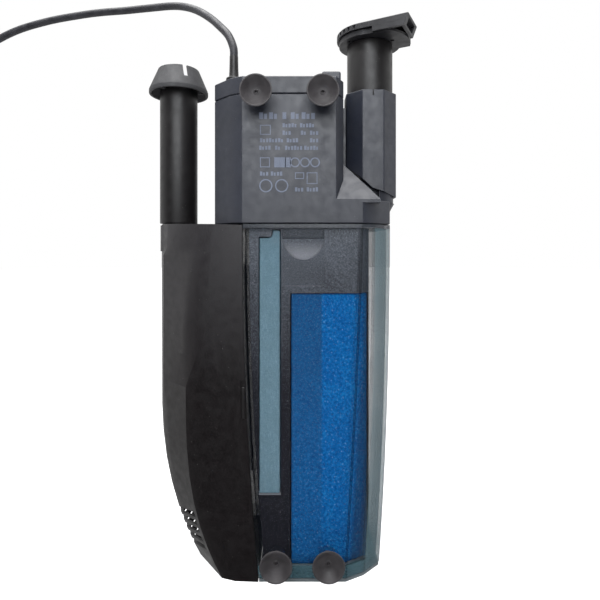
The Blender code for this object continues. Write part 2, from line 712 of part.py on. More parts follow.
def make_rotor():
    centre = (ROTOR_X, 0, 0)
    bore = SHAFT_RADIUS + 0.3 * MM
    sleeve_top = 233.6 * MM
    profile = [(MAGNET_RADIUS, 271 * MM), (MAGNET_RADIUS, 234 * MM), (bore, 234 * MM), (bore, 271 * MM)]
    turned("rotor_magnet", profile, centre, MAGNET, steps=24)
    profile = [(4.2 * MM, sleeve_top), (4.2 * MM, 221.4 * MM), (bore, 221.4 * MM), (bore, sleeve_top)]
    impeller = turned("impeller", profile, centre, NATURAL, steps=SMALL_STEPS)
    blades = []
    for i in range(6):
        blade = box(f"impeller_blade_{i}", (3 * MM, -0.7 * MM, 221 * MM), (15.5 * MM, 0.7 * MM, 227.4 * MM))
        turn = Matrix.Rotation(math.radians(60 * i + 15), 4, "Z")
        blade.data.transform(Matrix.Translation(centre) @ turn)
        blades.append(blade)
    join(impeller, *blades)
    drum("impeller_shaft", (ROTOR_X, 0), (218.6 * MM, 279 * MM), SHAFT_RADIUS, CERAMIC, steps=12)
    for name, low, blind in (("bushing_lower", 217.9, 218.3), ("bushing_upper", 276, 279.4)):
        low, blind = low * MM, blind * MM
        high = low + (2.8 if name == "bushing_lower" else 5) * MM
        radius = 2.6 * MM if name == "bushing_lower" else 9.2 * MM
        bush = drum(name, (ROTOR_X, 0), (low, high), radius, RUBBER, steps=SMALL_STEPS)
        reach = (blind, high + MM) if name == "bushing_lower" else (low - MM, blind)
        cut(bush, drum(f"{name}_cut", (ROTOR_X, 0), reach, SHAFT_RADIUS + GAP, steps=12))


def make_stator():
    low, high = CORE_Z
    core = box("stator_core", (CORE_X[0], -CORE_HALF, low), (CORE_X[1], CORE_HALF, high), STEEL)
    well = drum("core_bore_cut", (ROTOR_X, 0), (low - MM, high + MM), WELL_RADIUS + GAP)
    leg_right = CORE_X[0] + CORE_LEG
    arm = 7.5 * MM
    window = box("core_window_cut", (leg_right, -arm, low - MM), (ROTOR_X - 8 * MM, arm, high + MM))
    cut(core, well, window)

    leg_low = Vector((CORE_X[0] - GAP, -arm + GAP, low - GAP))
    leg_high = Vector((leg_right + GAP, arm - GAP, high + GAP))
    inside = -30 * MM, 30 * MM
    leg_hole = box("bobbin_hole_cut", (leg_low.x, inside[0], leg_low.z), (leg_high.x, inside[1], leg_high.z))
    spool, flange = 1 * MM, 5.6 * MM
    hub_low, hub_high = leg_low - Vector((spool, 0, spool)), leg_high + Vector((spool, 0, spool))
    bobbin = box("coil_bobbin", hub_low, hub_high, NATURAL)
    cheeks = []
    for side in (-1, 1):
        edge = leg_high.y if side > 0 else leg_low.y
        y0, y1 = sorted((edge, edge - side * MM))
        low_corner = (leg_low.x - flange, y0, leg_low.z - flange)
        high_corner = (leg_high.x + flange, y1, leg_high.z + flange)
        cheeks.append(box(f"bobbin_cheek_{side}", low_corner, high_corner))
    cut(join(bobbin, *cheeks), leg_hole)

    y_room = 1 * MM + GAP
    reach = flange - 0.6 * MM
    wound_low = (leg_low.x - reach, leg_low.y + y_room, leg_low.z - reach)
    wound_high = (leg_high.x + reach, leg_high.y - y_room, leg_high.z + reach)
    winding = ease(box("winding", wound_low, wound_high, COPPER), 1.6 * MM, segments=2)
    hollow_low = (hub_low.x - GAP, inside[0], hub_low.z - GAP)
    hollow_high = (hub_high.x + GAP, inside[1], hub_high.z + GAP)
    cut(winding, box("winding_hole_cut", hollow_low, hollow_high))


# Outlet --------------------------------------------------------------------------------------


def octagon(half, centre):
    """A regular octagon with a flat facing the front."""
    radius = half / math.cos(math.pi / 8)
    return [polar(radius, math.radians(22.5 + 45 * i), centre) for i in range(8)]


def make_outlet_sleeve():
    centre = (OUTLET_X, 0)
    sleeve = ease(prism("outlet_sleeve", octagon(SLEEVE_HALF, centre), (229 * MM, SLEEVE_TOP), BLACK), 0.4 * MM)
    foot = [(20, 220), (66, 220), (66, 232.6), (54.6, 236.2), (45, 239.3), (27, 255.9), (20, 262)]
    foot_cut = wall_prism("sleeve_foot_cut", [(x * MM, z * MM) for x, z in foot], (-40 * MM, 40 * MM))
    spigot = drum("sleeve_spigot", centre, (227.3 * MM, 245 * MM), OUTLET_SPIGOT)
    # The collar closes the gap over the head's band, clear of the gusset.
    collar = drum("sleeve_collar", centre, (BAND_Z[1] + GAP, 240 * MM), 15.6 * MM)
    cut(collar, box("collar_side_cut", (20 * MM, -20 * MM, 228 * MM), (49.5 * MM, 20 * MM, 242 * MM)))
    socket = drum("sleeve_bore_cut", centre, (SLEEVE_FLOOR, 310 * MM), SLEEVE_BORE, steps=40)
    throat = drum("sleeve_throat_cut", centre, (220 * MM, 265 * MM), OUTLET_BORE)
    notch = box("sleeve_notch_cut", (OUTLET_X - 0.4 * MM, -20 * MM, 298.5 * MM), (OUTLET_X + 0.4 * MM, -12 * MM, 306 * MM))
    cut(join(cut(sleeve, foot_cut), spigot, collar), socket, throat, notch)


def make_outlet_tube():
    low, high = OUTLET_Z
    inner = OUTLET_RADIUS - OUTLET_WALL
    profile = [(OUTLET_RADIUS, high), (OUTLET_RADIUS, low), (inner, low), (inner, high)]
    turned("outlet_tube", profile, (OUTLET_X, 0, 0), BLACK, steps=40)


def spout_frame():
    """Along the spout, and across it towards the front."""
    along = Vector((math.cos(SPOUT_YAW), math.sin(SPOUT_YAW), 0))
    across = Vector((along.y, -along.x, 0))
    return along, across


def nozzle_point(along_by, across_by):
    along, across = spout_frame()
    place = Vector((OUTLET_X, 0, 0)) + along * along_by + across * across_by
    return (place.x, place.y)


def arc(radius, start, end, count):
    """Points about the outlet's axis; angles in degrees from the spout's direction, towards the back."""
    step = (end - start) / (count - 1)
    angles = [math.radians(start + step * i) for i in range(count)]
    return [nozzle_point(radius * math.cos(a), -radius * math.sin(a)) for a in angles]


def spout_outline(radius, reach, back_edge=0.0):
    """A disc with a straight-sided spout leaving it tangentially on its front side."""
    start = -math.degrees(math.asin(back_edge / radius))
    return arc(radius, start, 270, 37) + [nozzle_point(reach, radius), nozzle_point(reach, back_edge)]


def lobe_outline(shrink):
    """The base plate: a disc that swells into a rounded lobe under the spout."""
    disc, lobe = 20.5 * MM - shrink, LOBE_RADIUS - shrink
    near, far = 19.7 * MM - shrink, 11 * MM - shrink
    start = -math.degrees(math.asin(near / lobe))
    end = math.degrees(math.asin(far / lobe))
    front = -math.degrees(math.acos(min(1, math.sqrt(max(0, disc**2 - near**2)) / disc)))
    back = math.degrees(math.asin(far / disc))
    return arc(lobe, start, end, 9) + arc(disc, back, 360 + front, 29)


def make_nozzle_base():
    base = prism("nozzle_base", lobe_outline(0), (NOZZLE_FOOT, NOZZLE_SPLIT - GAP), BLACK)
    floor = NOZZLE_FOOT + 1.5 * MM
    recess = prism("nozzle_recess_cut", lobe_outline(1.8 * MM), (floor, NOZZLE_SPLIT + MM))
    spigot = drum("nozzle_spigot", (OUTLET_X, 0), (326 * MM, NOZZLE_FOOT + MM), OUTLET_RADIUS - OUTLET_WALL - GAP)
    bore = drum("nozzle_bore_cut", (OUTLET_X, 0), (320 * MM, 345 * MM), 11 * MM)
    notches = []
    for i, angle in enumerate((math.radians(-38), math.radians(-150))):
        x, y = polar(17 * MM, angle, (OUTLET_X, 0))
        half = 1.1 * MM
        corner = (x - half, y - half, 330 * MM), (x + half, y + half, NOZZLE_FOOT + 0.9 * MM)
        notches.append(box(f"bayonet_notch_cut_{i}", *corner))
    mouth = spout_box("base_mouth_cut", (17 * MM, -18 * MM, floor), (30 * MM, -4 * MM, NOZZLE_SPLIT + MM))
    cut(join(cut(base, recess), spigot), bore, mouth, *notches)


def spout_box(name, low, high, shear=0.0):
    """A box in the spout's own frame: along it, towards the back, and up. Shear leans its ends."""
    along, across = spout_frame()
    turn = Matrix((along, -across, Vector((0, 0, 1)))).transposed().to_4x4()
    leaning = Matrix.Identity(4)
    leaning[0][2] = shear
    foot = Matrix.Translation((0, 0, low[2]))
    made = box(name, low, high)
    made.data.transform(Matrix.Translation((OUTLET_X, 0, 0)) @ turn @ foot @ leaning @ foot.inverted())
    return made


def make_nozzle_cover():
    outline = spout_outline(NOZZLE_RADIUS, SPOUT_REACH)
    cover = prism("nozzle_cover", outline, (NOZZLE_SPLIT, NOZZLE_TOP), BLACK, chamfer=0.4 * MM)
    inner_end = 27.6 * MM
    edge = NOZZLE_RADIUS - 0.05 * MM
    near = [(9, edge / MM), (9, 20.1), (inner_end / MM, 20.1), (inner_end / MM, 0.05), (34, 0.05), (34, edge / MM)]
    skirt_outline = [nozzle_point(along * MM, across * MM) for along, across in near]
    skirt = prism("nozzle_skirt", skirt_outline, (SPOUT_FOOT, NOZZLE_SPLIT + 0.9 * MM))
    chamber = prism("nozzle_chamber_cut", spout_outline(20 * MM, inner_end, 2 * MM), (330 * MM, NOZZLE_TOP - 1.5 * MM))
    jet = spout_box("nozzle_jet_cut", (26 * MM, -18 * MM, 337.4 * MM), (36 * MM, -4 * MM, 341.9 * MM))
    lean_from = SPOUT_REACH - SPOUT_LEAN * (NOZZLE_TOP - 330 * MM)
    beyond = spout_box("nozzle_end_cut", (lean_from, -26 * MM, 330 * MM), (50 * MM, 6 * MM, 346 * MM), SPOUT_LEAN)
    grooves = []
    for i in range(RIB_COUNT):
        angle = math.radians(-125) - i * RIB_PITCH
        groove = box(f"rib_groove_cut_{i}", (21.1 * MM, -0.9 * MM, 340.5 * MM), (24 * MM, 0.9 * MM, 342.7 * MM))
        groove.data.transform(Matrix.Translation((OUTLET_X, 0, 0)) @ Matrix.Rotation(angle, 4, "Z"))
        grooves.append(groove)
    join(cover, skirt)
    cut(cover, chamber, jet, beyond, *grooves)


# Suction cups --------------------------------------------------------------------------------


def cup_profile():
    thick = 1.1 * MM
    centre = CUP_PROUD - CUP_DISH
    rim = CUP_RADIUS - 0.8 * MM
    dish = [(r, centre + CUP_DISH * (r / rim) ** 1.8) for r in (0.9 * MM, 3 * MM, 5 * MM, 7 * MM, rim)]
    hole = [(0, centre - 1.2 * MM), (0.9 * MM, centre - 1.2 * MM)]
    back = [(r, z - thick) for r, z in reversed(dish[2:-1])]
    neck = [(CUP_NECK + 0.6 * MM, centre - 1.6 * MM), (CUP_NECK, centre - 2.6 * MM), (CUP_NECK, 0.8 * MM), (0, 0.8 * MM)]
    return hole + dish + [(CUP_RADIUS, CUP_PROUD), (CUP_RADIUS, CUP_PROUD - 0.5 * MM)] + back + neck


def make_suction_cups():
    for place, (x, z) in CUPS.items():
        towards_front = (math.pi / 2, 0, 0)
        turned(f"suction_cup_{place}", cup_profile(), (x, FRONT, z), RUBBER, SMALL_STEPS, towards_front)
        hole = CUP_NECK + GAP
        collar = [(4.6 * MM, 5 * MM), (5.2 * MM, GAP), (hole, GAP), (hole, 5 * MM)]
        turned(f"cup_holder_{place}", collar, (x, FRONT, z), BLACK, SMALL_STEPS, towards_front)


# Cable ---------------------------------------------------------------------------------------


def spread_along(points, count):
    """The points of a smooth curve through the given ones, evenly spread."""
    points = [Vector(p) for p in points]
    ends = [2 * points[0] - points[1], *points, 2 * points[-1] - points[-2]]
    fine = []
    for a, b, c, d in zip(ends, ends[1:], ends[2:], ends[3:]):
        for i in range(12):
            t = i / 12
            bend = (2 * a - 5 * b + 4 * c - d) * t**2 + (3 * b - a - 3 * c + d) * t**3
            fine.append((2 * b + (c - a) * t + bend) / 2)
    fine.append(points[-1])
    run = [0.0]
    for first, second in zip(fine, fine[1:]):
        run.append(run[-1] + (second - first).length)
    spread, i = [], 0
    for k in range(count):
        want = run[-1] * k / (count - 1)
        while i < len(run) - 2 and run[i + 1] < want:
            i += 1
        part = (want - run[i]) / max(run[i + 1] - run[i], 1e-9)
        spread.append(fine[i].lerp(fine[i + 1], min(1, part)))
    return spread


def make_cord_run(name, route, count):
    points = spread_along([tuple(v * MM for v in point) for point in route], count)
    line = bpy.data.curves.new(name, "CURVE")
    line.dimensions = "3D"
    spline = line.splines.new("POLY")
    spline.points.add(len(points) - 1)
    for knot, point in zip(spline.points, points):
        knot.co = (*point, 1)
    line.bevel_depth = CORD_DIAMETER / 2
    line.bevel_resolution = 2
    line.use_fill_caps = True
    line.materials.append(CABLE)
    PARTS.objects.link(bpy.data.objects.new(name, line))


def make_cord_coil():
    inner, outer = COIL_RADIUS - CORD_DIAMETER, COIL_RADIUS + CORD_DIAMETER
    low, high = COIL_LIFT, COIL_LIFT + COIL_LAYERS * CORD_DIAMETER
    edge = 1.6 * MM
    profile = [
        (outer - edge, high),
        (outer, high - edge),
        (outer, low + edge),
        (outer - edge, low),
        (inner + edge, low),
        (inner, low + edge),
        (inner, high - edge),
        (inner + edge, high),
    ]
    turned("cord_coil", profile, (*COIL_AT, 0), CABLE, steps=28)
    across = COIL_AT[0] + COIL_RADIUS
    tie_low = Vector((across - 5.9 * MM, COIL_AT[1] - 1.5 * MM, 0.1 * MM))
    tie_high = Vector((across + 5.9 * MM, COIL_AT[1] + 1.5 * MM, high + 0.9 * MM))
    tie = ease(box("cord_tie", tie_low, tie_high, BLACK), 0.3 * MM)
    margin = Vector((0.55 * MM, -3 * MM, 0.6 * MM))
    cut(tie, box("tie_hole_cut", tie_low + margin, tie_high - margin))


def make_cable_gland():
    x, y = GLAND_AT
    low, high = GLAND_Z
    profile = [
        (0, high),
        (2.6 * MM, high),
        (3.0 * MM, HEAD_TOP + 2.2 * MM),
        (4.8 * MM, HEAD_TOP + 1.9 * MM),
        (4.8 * MM, HEAD_TOP + GAP),
        (3.5 * MM, HEAD_TOP + GAP),
        (3.5 * MM, low),
        (0, low),
    ]
    turned("cable_gland", profile, (x, y, 0), BLACK, SMALL_STEPS)


def make_plug():
    length, width, height = PLUG_SIZE
    x, y = PLUG_AT
    low = (x - length / 2, y - width / 2, 0.3 * MM)
    high = (x + length / 2, y + width / 2, 0.3 * MM + height)
    body = box("plug_body", low, high, CABLE)
    ease(body, 3 * MM, segments=3)
    for side in (-1, 1):
        notch = drum(f"plug_waist_cut_{side}", (x - 12 * MM, y + side * (width / 2 + 2 * MM)), (-5 * MM, 20 * MM), 6 * MM)
        cut(body, notch)
    for side, name in ((-1, "plug_pin_left"), (1, "plug_pin_right")):
        bm = bmesh.new()
        bmesh.ops.create_cone(bm, cap_ends=True, segments=16, radius1=2 * MM, radius2=2 * MM, depth=19 * MM)
        start = high[0] + GAP
        place = Matrix.Translation((start + 9.5 * MM, y + side * PIN_SPACING / 2, 0.3 * MM + height / 2))
        bm.transform(place @ Matrix.Rotation(math.pi / 2, 4, "Y"))
        smooth(ease(object_of(name, bm, BRASS), 0.5 * MM, angle=60))


# Joint axes ----------------------------------------------------------------------------------


def set_joint_origins():
    """Each moving piece keeps its shape and takes its origin on its joint's axis."""
    axes = {
        "impeller": (ROTOR_X, 0, 0),
        "rotor_magnet": (ROTOR_X, 0, 0),
        "nozzle_base": (OUTLET_X, 0, NOZZLE_FOOT),
        "nozzle_cover": (OUTLET_X, 0, NOZZLE_SPLIT),
        "side_clip": (seam_x(CLIP_Z[0]), FRONT, CLIP_Z[0]),
    }
    for name, point in axes.items():
        piece = bpy.data.objects[name]
        shift = Vector(point) - piece.location
        piece.data.transform(Matrix.Translation(-shift))
        piece.location = point


make_base_plate()
make_canister()
make_basket()
make_media()
make_intake_housing()
make_side_clip()
make_skimmer()
make_skimmer_cap()
make_motor_housing()
make_motor_cap()
make_volute_cover()
make_rotor()
make_stator()
make_outlet_sleeve()
make_outlet_tube()
make_nozzle_base()
make_nozzle_cover()
make_suction_cups()
make_cable_gland()
make_cord_run("cord_lead", LEAD_ROUTE, 60)
make_cord_run("cord_tail", TAIL_ROUTE, 7)
make_cord_coil()
make_plug()
set_joint_origins()
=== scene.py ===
"""The looks of an internal power filter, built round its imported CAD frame.

Metres, +Z up. The face with the suction cups looks along -Y, the inlet housing is on -X and the outlet on +X.
"""

import json
import math

import bmesh
import bpy
from mathutils import Matrix, Vector, noise

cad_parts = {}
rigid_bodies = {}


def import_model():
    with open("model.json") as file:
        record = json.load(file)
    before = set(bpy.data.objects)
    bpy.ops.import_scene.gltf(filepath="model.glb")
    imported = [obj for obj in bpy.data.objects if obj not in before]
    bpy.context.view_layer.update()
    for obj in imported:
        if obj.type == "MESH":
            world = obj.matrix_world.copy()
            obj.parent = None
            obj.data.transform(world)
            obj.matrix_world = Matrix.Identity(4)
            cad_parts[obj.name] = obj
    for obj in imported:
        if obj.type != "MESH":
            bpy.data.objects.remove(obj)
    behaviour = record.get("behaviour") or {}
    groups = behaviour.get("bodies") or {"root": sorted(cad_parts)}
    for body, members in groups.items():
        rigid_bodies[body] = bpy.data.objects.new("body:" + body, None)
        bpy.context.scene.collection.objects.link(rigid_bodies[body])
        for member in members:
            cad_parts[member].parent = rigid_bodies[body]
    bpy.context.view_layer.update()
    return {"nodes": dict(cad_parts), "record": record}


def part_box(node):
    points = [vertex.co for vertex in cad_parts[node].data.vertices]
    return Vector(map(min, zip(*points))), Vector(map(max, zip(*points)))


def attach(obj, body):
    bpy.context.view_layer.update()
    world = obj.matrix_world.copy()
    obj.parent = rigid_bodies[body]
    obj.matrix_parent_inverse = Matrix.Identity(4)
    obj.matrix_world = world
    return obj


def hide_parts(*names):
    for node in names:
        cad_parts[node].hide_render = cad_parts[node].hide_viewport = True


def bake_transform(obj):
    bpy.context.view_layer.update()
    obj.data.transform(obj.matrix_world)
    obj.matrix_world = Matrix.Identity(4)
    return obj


for leftover in list(bpy.data.objects):
    bpy.data.objects.remove(leftover)

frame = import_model()
NODES = frame["nodes"]
BODY_OF = {node: body for body, members in frame["record"]["behaviour"]["bodies"].items() for node in members}

MM = 0.001


# Stage ---------------------------------------------------------------------------------------

CAMERA_AT = (-0.0015, -0.324, 0.200)
CAMERA_LENS = 28.8
CAMERA_SHIFT = -0.085
# Where each change begins and ends along its axis, and how bright it is there and there.
ROOM_DEPTH = (-0.75, 0.15, 0.03, 0.85)
ROOM_HEIGHT = (-0.5, 0.0, 0.65, 1.0)
FLOOR_GLOW = (0.15, 0.7, 0.72, 1.0)
# Place, aim, width and depth, watts, and colour of each soft box.
SOFTBOXES = {
    "top_light": ((-0.15, -0.15, 1.1), (-0.02, 0, 0.15), (1.0, 0.8), 14, (1, 1, 1)),
    "front_light": ((-0.02, -1.0, 0.68), (0, 0, 0.25), (0.85, 0.85), 9.5, (0.95, 0.975, 1.0)),
}


def place_camera():
    data = bpy.data.cameras.new("camera")
    data.sensor_width = 36
    data.lens = CAMERA_LENS
    data.shift_y = CAMERA_SHIFT
    camera = bpy.data.objects.new("camera", data)
    camera.location = CAMERA_AT
    camera.rotation_euler = (math.pi / 2, 0, 0)
    bpy.context.scene.collection.objects.link(camera)
    bpy.context.scene.camera = camera


def softbox(name, place, aim, size, watts, colour):
    data = bpy.data.lights.new(name, "AREA")
    data.shape = "RECTANGLE"
    data.size, data.size_y = size
    data.energy = watts
    data.color = colour
    light = bpy.data.objects.new(name, data)
    light.location = place
    light.rotation_euler = (Vector(aim) - Vector(place)).to_track_quat("-Z", "Y").to_euler()
    bpy.context.scene.collection.objects.link(light)


def eased(tree, source, low, high, to_low, to_high):
    """A value between low and high turned into one between to_low and to_high, easing in and out."""
    made = tree.nodes.new("ShaderNodeMapRange")
    made.interpolation_type = "SMOOTHSTEP"
    for socket, value in (("From Min", low), ("From Max", high), ("To Min", to_low), ("To Max", to_high)):
        made.inputs[socket].default_value = value
    tree.links.new(source, made.inputs["Value"])
    return made.outputs["Result"]


def product(tree, first, second):
    made = tree.nodes.new("ShaderNodeMath")
    made.operation = "MULTIPLY"
    tree.links.new(first, made.inputs[0])
    tree.links.new(second, made.inputs[1])
    return made.outputs[0]


def light_studio():
    """A white sweep behind the object, a dim room in front of it, and soft boxes above and in front."""
    world = bpy.data.worlds.new("studio")
    world.use_nodes = True
    bpy.context.scene.world = world
    tree = world.node_tree
    lit = tree.nodes["Background"]
    lit.inputs["Color"].default_value = (1, 1, 1, 1)
    parts = tree.nodes.new("ShaderNodeSeparateXYZ")
    tree.links.new(tree.nodes.new("ShaderNodeTexCoord").outputs["Generated"], parts.inputs[0])
    depth = eased(tree, parts.outputs["Y"], *ROOM_DEPTH)
    height = eased(tree, parts.outputs["Z"], *ROOM_HEIGHT)
    tree.links.new(product(tree, depth, height), lit.inputs["Strength"])
    seen = tree.nodes.new("ShaderNodeBackground")
    seen.inputs["Color"].default_value = (1, 1, 1, 1)
    choose = tree.nodes.new("ShaderNodeMixShader")
    tree.links.new(tree.nodes.new("ShaderNodeLightPath").outputs["Is Camera Ray"], choose.inputs["Fac"])
    tree.links.new(lit.outputs[0], choose.inputs[1])
    tree.links.new(seen.outputs[0], choose.inputs[2])
    tree.links.new(choose.outputs[0], tree.nodes["World Output"].inputs["Surface"])
    for name, settings in SOFTBOXES.items():
        softbox(name, *settings)
    bpy.context.scene.view_settings.view_transform = "Standard"


def lay_floor():
    """A wide floor that glows where the camera sees it, so that it fades into the white behind."""
    bm = bmesh.new()
    bmesh.ops.create_circle(bm, cap_ends=True, segments=96, radius=5)
    mesh = bpy.data.meshes.new("floor")
    bm.to_mesh(mesh)
    bm.free()
    floor = bpy.data.objects.new("floor", mesh)
    bpy.context.scene.collection.objects.link(floor)
    mat = bpy.data.materials.new("floor")
    mat.use_nodes = True
    shader = mat.node_tree.nodes["Principled BSDF"]
    shader.inputs["Base Color"].default_value = (0.75, 0.75, 0.76, 1)
    shader.inputs["Roughness"].default_value = 0.9
    shader.inputs["Specular IOR Level"].default_value = 0
    shader.inputs["Emission Color"].default_value = (1, 1, 1, 1)
    tree = mat.node_tree
    away = tree.nodes.new("ShaderNodeVectorMath")
    away.operation = "LENGTH"
    tree.links.new(tree.nodes.new("ShaderNodeTexCoord").outputs["Object"], away.inputs[0])
    glow = eased(tree, away.outputs["Value"], *FLOOR_GLOW)
    seen = tree.nodes.new("ShaderNodeLightPath").outputs["Is Camera Ray"]
    tree.links.new(product(tree, seen, glow), shader.inputs["Emission Strength"])
    mesh.materials.append(mat)
    floor.visible_glossy = False


# Material nodes ------------------------------------------------------------------------------


class Finish:
    """A material's node tree, with short calls for the nodes that every finish here uses."""

    def __init__(self, name, roughness=0.5, metallic=0.0, specular=0.5):
        self.material = bpy.data.materials.new(name)
        self.material.use_nodes = True
        self.tree = self.material.node_tree
        self.shader = self.tree.nodes["Principled BSDF"]
        self.fix("Roughness", roughness)
        self.fix("Metallic", metallic)
        self.fix("Specular IOR Level", specular)
        self.place = self.add("ShaderNodeTexCoord").outputs["Object"]

    def fix(self, socket, value):
        self.shader.inputs[socket].default_value = value

    def feed(self, socket, source):
        self.tree.links.new(source, self.shader.inputs[socket])

    def add(self, kind, **inputs):
        made = self.tree.nodes.new(kind)
        for key, value in inputs.items():
            socket = made.inputs[key.replace("_", " ")]
            if isinstance(value, bpy.types.NodeSocket):
                self.tree.links.new(value, socket)
            else:
                socket.default_value = value
        return made

    def stretched(self, scale):
        return self.add("ShaderNodeMapping", Vector=self.place, Scale=scale).outputs[0]

    def grain(self, size, detail=2.0, rough=0.5, place=None):
        """Cloudy noise whose blots are about this wide, in metres."""
        vector = self.place if place is None else place
        made = self.add("ShaderNodeTexNoise", Vector=vector, Scale=1 / size, Detail=detail, Roughness=rough)
        return made.outputs["Fac"]

    def cells(self, size):
        """Distance from the middle of the nearest cell, of cells about this wide."""
        return self.add("ShaderNodeTexVoronoi", Vector=self.place, Scale=1 / size).outputs["Distance"]

    def ranged(self, source, low, high, to_low=0.0, to_high=1.0):
        made = self.add("ShaderNodeMapRange", Value=source)
        for key, value in (("From Min", low), ("From Max", high), ("To Min", to_low), ("To Max", to_high)):
            made.inputs[key].default_value = value
        return made.outputs["Result"]

    def calc(self, first, second, operation="ADD"):
        made = self.tree.nodes.new("ShaderNodeMath")
        made.operation = operation
        for socket, value in zip(made.inputs, (first, second)):
            if isinstance(value, bpy.types.NodeSocket):
                self.tree.links.new(value, socket)
            else:
                socket.default_value = value
        return made.outputs[0]

    def mix(self, factor, first, second):
        """One colour turning into another. A colour is three numbers or another node's output."""
        made = self.tree.nodes.new("ShaderNodeMix")
        made.data_type = "RGBA"
        for socket, value in ((made.inputs[0], factor), (made.inputs[6], first), (made.inputs[7], second)):
            if isinstance(value, bpy.types.NodeSocket):
                self.tree.links.new(value, socket)
            elif isinstance(value, tuple):
                socket.default_value = (*value, 1)
            else:
                socket.default_value = value
        return made.outputs[2]

    def bump(self, height, depth, before=None):
        """Raises the surface by depth, in metres, where height goes from 0 to 1."""
        made = self.add("ShaderNodeBump", Height=height, Distance=depth, Strength=1.0)
        if before is not None:
            self.tree.links.new(before, made.inputs["Normal"])
        return made.outputs["Normal"]


# Colours that lie over others: settled dust, painted light on the thumb recess's floor, and the specks in the
# basket's plastic.
DUST_TONE = (0.42, 0.42, 0.40)
SCOOP_LIGHT_TONE = (0.42, 0.43, 0.47)
SPECK_TONE = (0.5, 0.52, 0.55)


def moulded(
    name, colour, roughness, grain=0.5 * MM, depth=0.012 * MM, specular=0.5, dust=0.5, lift=1.7, upper=None
):
    """Moulded plastic: fine spark-eroded grain, a slow drift of tone, and a little pale dust.

    upper is painted light: the paler tone towards the top of a piece, where the light falls on it."""
    finish = Finish(name, roughness, specular=specular)
    clouds = finish.grain(26 * MM, 3)
    fine = finish.grain(grain, 3, 0.6)
    paler = tuple(min(1, c * lift) for c in colour)
    darker = tuple(c * 0.72 for c in colour)
    tone = finish.mix(finish.ranged(clouds, 0.35, 0.65), darker, colour)
    # Painted light: the tone turns paler with height, towards the top where the light falls.
    if upper:
        height = finish.add("ShaderNodeSeparateXYZ", Vector=finish.place).outputs["Z"]
        lit_height = finish.calc(height, finish.ranged(clouds, 0, 1, -15 * MM, 15 * MM))
        tone = finish.mix(finish.ranged(lit_height, 110 * MM, 215 * MM), tone, upper)
    tone = finish.mix(finish.ranged(fine, 0.42, 0.72, 0, 0.6), tone, paler)
    specks = finish.cells(2.6 * MM)
    patches = finish.ranged(finish.grain(9 * MM, 2), 0.52, 0.66)
    thinly = finish.calc(finish.ranged(specks, 0.07, 0.04), patches, "MULTIPLY")
    tone = finish.mix(finish.calc(thinly, dust, "MULTIPLY"), tone, DUST_TONE)
    finish.feed("Base Color", tone)
    spread = finish.ranged(finish.grain(5 * MM, 3), 0.3, 0.7, roughness * 0.85, min(1, roughness * 1.2))
    finish.feed("Roughness", spread)
    finish.feed("Normal", finish.bump(fine, depth))
    return finish


def speckled(name, foot, top):
    """The basket's coarse spark-eroded plastic, which catches more light towards its open top."""
    finish = Finish(name, 0.6, specular=0.3)
    height = finish.add("ShaderNodeSeparateXYZ", Vector=finish.place).outputs["Z"]
    tone = finish.mix(finish.ranged(height, 118 * MM, 208 * MM), foot, top)
    coarse = finish.grain(0.75 * MM, 3, 0.7)
    clouds = finish.grain(24 * MM, 3)
    tone = finish.mix(finish.ranged(clouds, 0.35, 0.65, 0, 0.35), tone, tuple(c * 0.8 for c in foot))
    lit = finish.ranged(height, 90 * MM, 205 * MM, 0.1, 0.6)
    glints = finish.calc(finish.ranged(coarse, 0.5, 0.72), lit, "MULTIPLY")
    tone = finish.mix(glints, tone, tuple(c * 1.9 for c in top))
    tone = finish.mix(finish.ranged(coarse, 0.5, 0.3, 0, 0.6), tone, tuple(c * 0.5 for c in foot))
    # Painted light: the thumb recess's sloping floor is painted paler towards its lower edge, where it catches
    # the light.
    normal = finish.add("ShaderNodeNewGeometry").outputs["True Normal"]
    slope = finish.calc(finish.add("ShaderNodeSeparateXYZ", Vector=normal).outputs["Z"], 0.0, "ABSOLUTE")
    scoop_light = finish.ranged(height, 205 * MM, 193 * MM, 0.0, 0.8)
    scoop_light = finish.calc(finish.ranged(slope, 0.1, 0.2), scoop_light, "MULTIPLY")
    tone = finish.mix(scoop_light, tone, SCOOP_LIGHT_TONE)
    specks = finish.ranged(finish.cells(4.2 * MM), 0.07, 0.035)
    finish.feed("Base Color", finish.mix(finish.calc(specks, 0.6, "MULTIPLY"), tone, SPECK_TONE))
    finish.feed("Normal", finish.bump(coarse, 0.04 * MM))
    return finish


# Pieces --------------------------------------------------------------------------------------


def piece(name, mesh, material, body, *nodes, slot=None):
    """A new piece that rides on a body and stands for these CAD nodes."""
    made = bpy.data.objects.new(name, mesh)
    bpy.context.scene.collection.objects.link(made)
    mesh.materials.clear()
    mesh.materials.append(material)
    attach(made, body)
    if nodes:
        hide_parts(*nodes)
    return made


def modified(mesh, name, kind, **settings):
    """The mesh after one modifier, under a new name."""
    block = bpy.data.objects.new(name + "_block", mesh)
    bpy.context.scene.collection.objects.link(block)
    modifier = block.modifiers.new("change", kind)
    for key, value in settings.items():
        setattr(modifier, key, value)
    made = bpy.data.meshes.new_from_object(block.evaluated_get(bpy.context.evaluated_depsgraph_get()))
    bpy.data.objects.remove(block)
    made.name = name
    return made


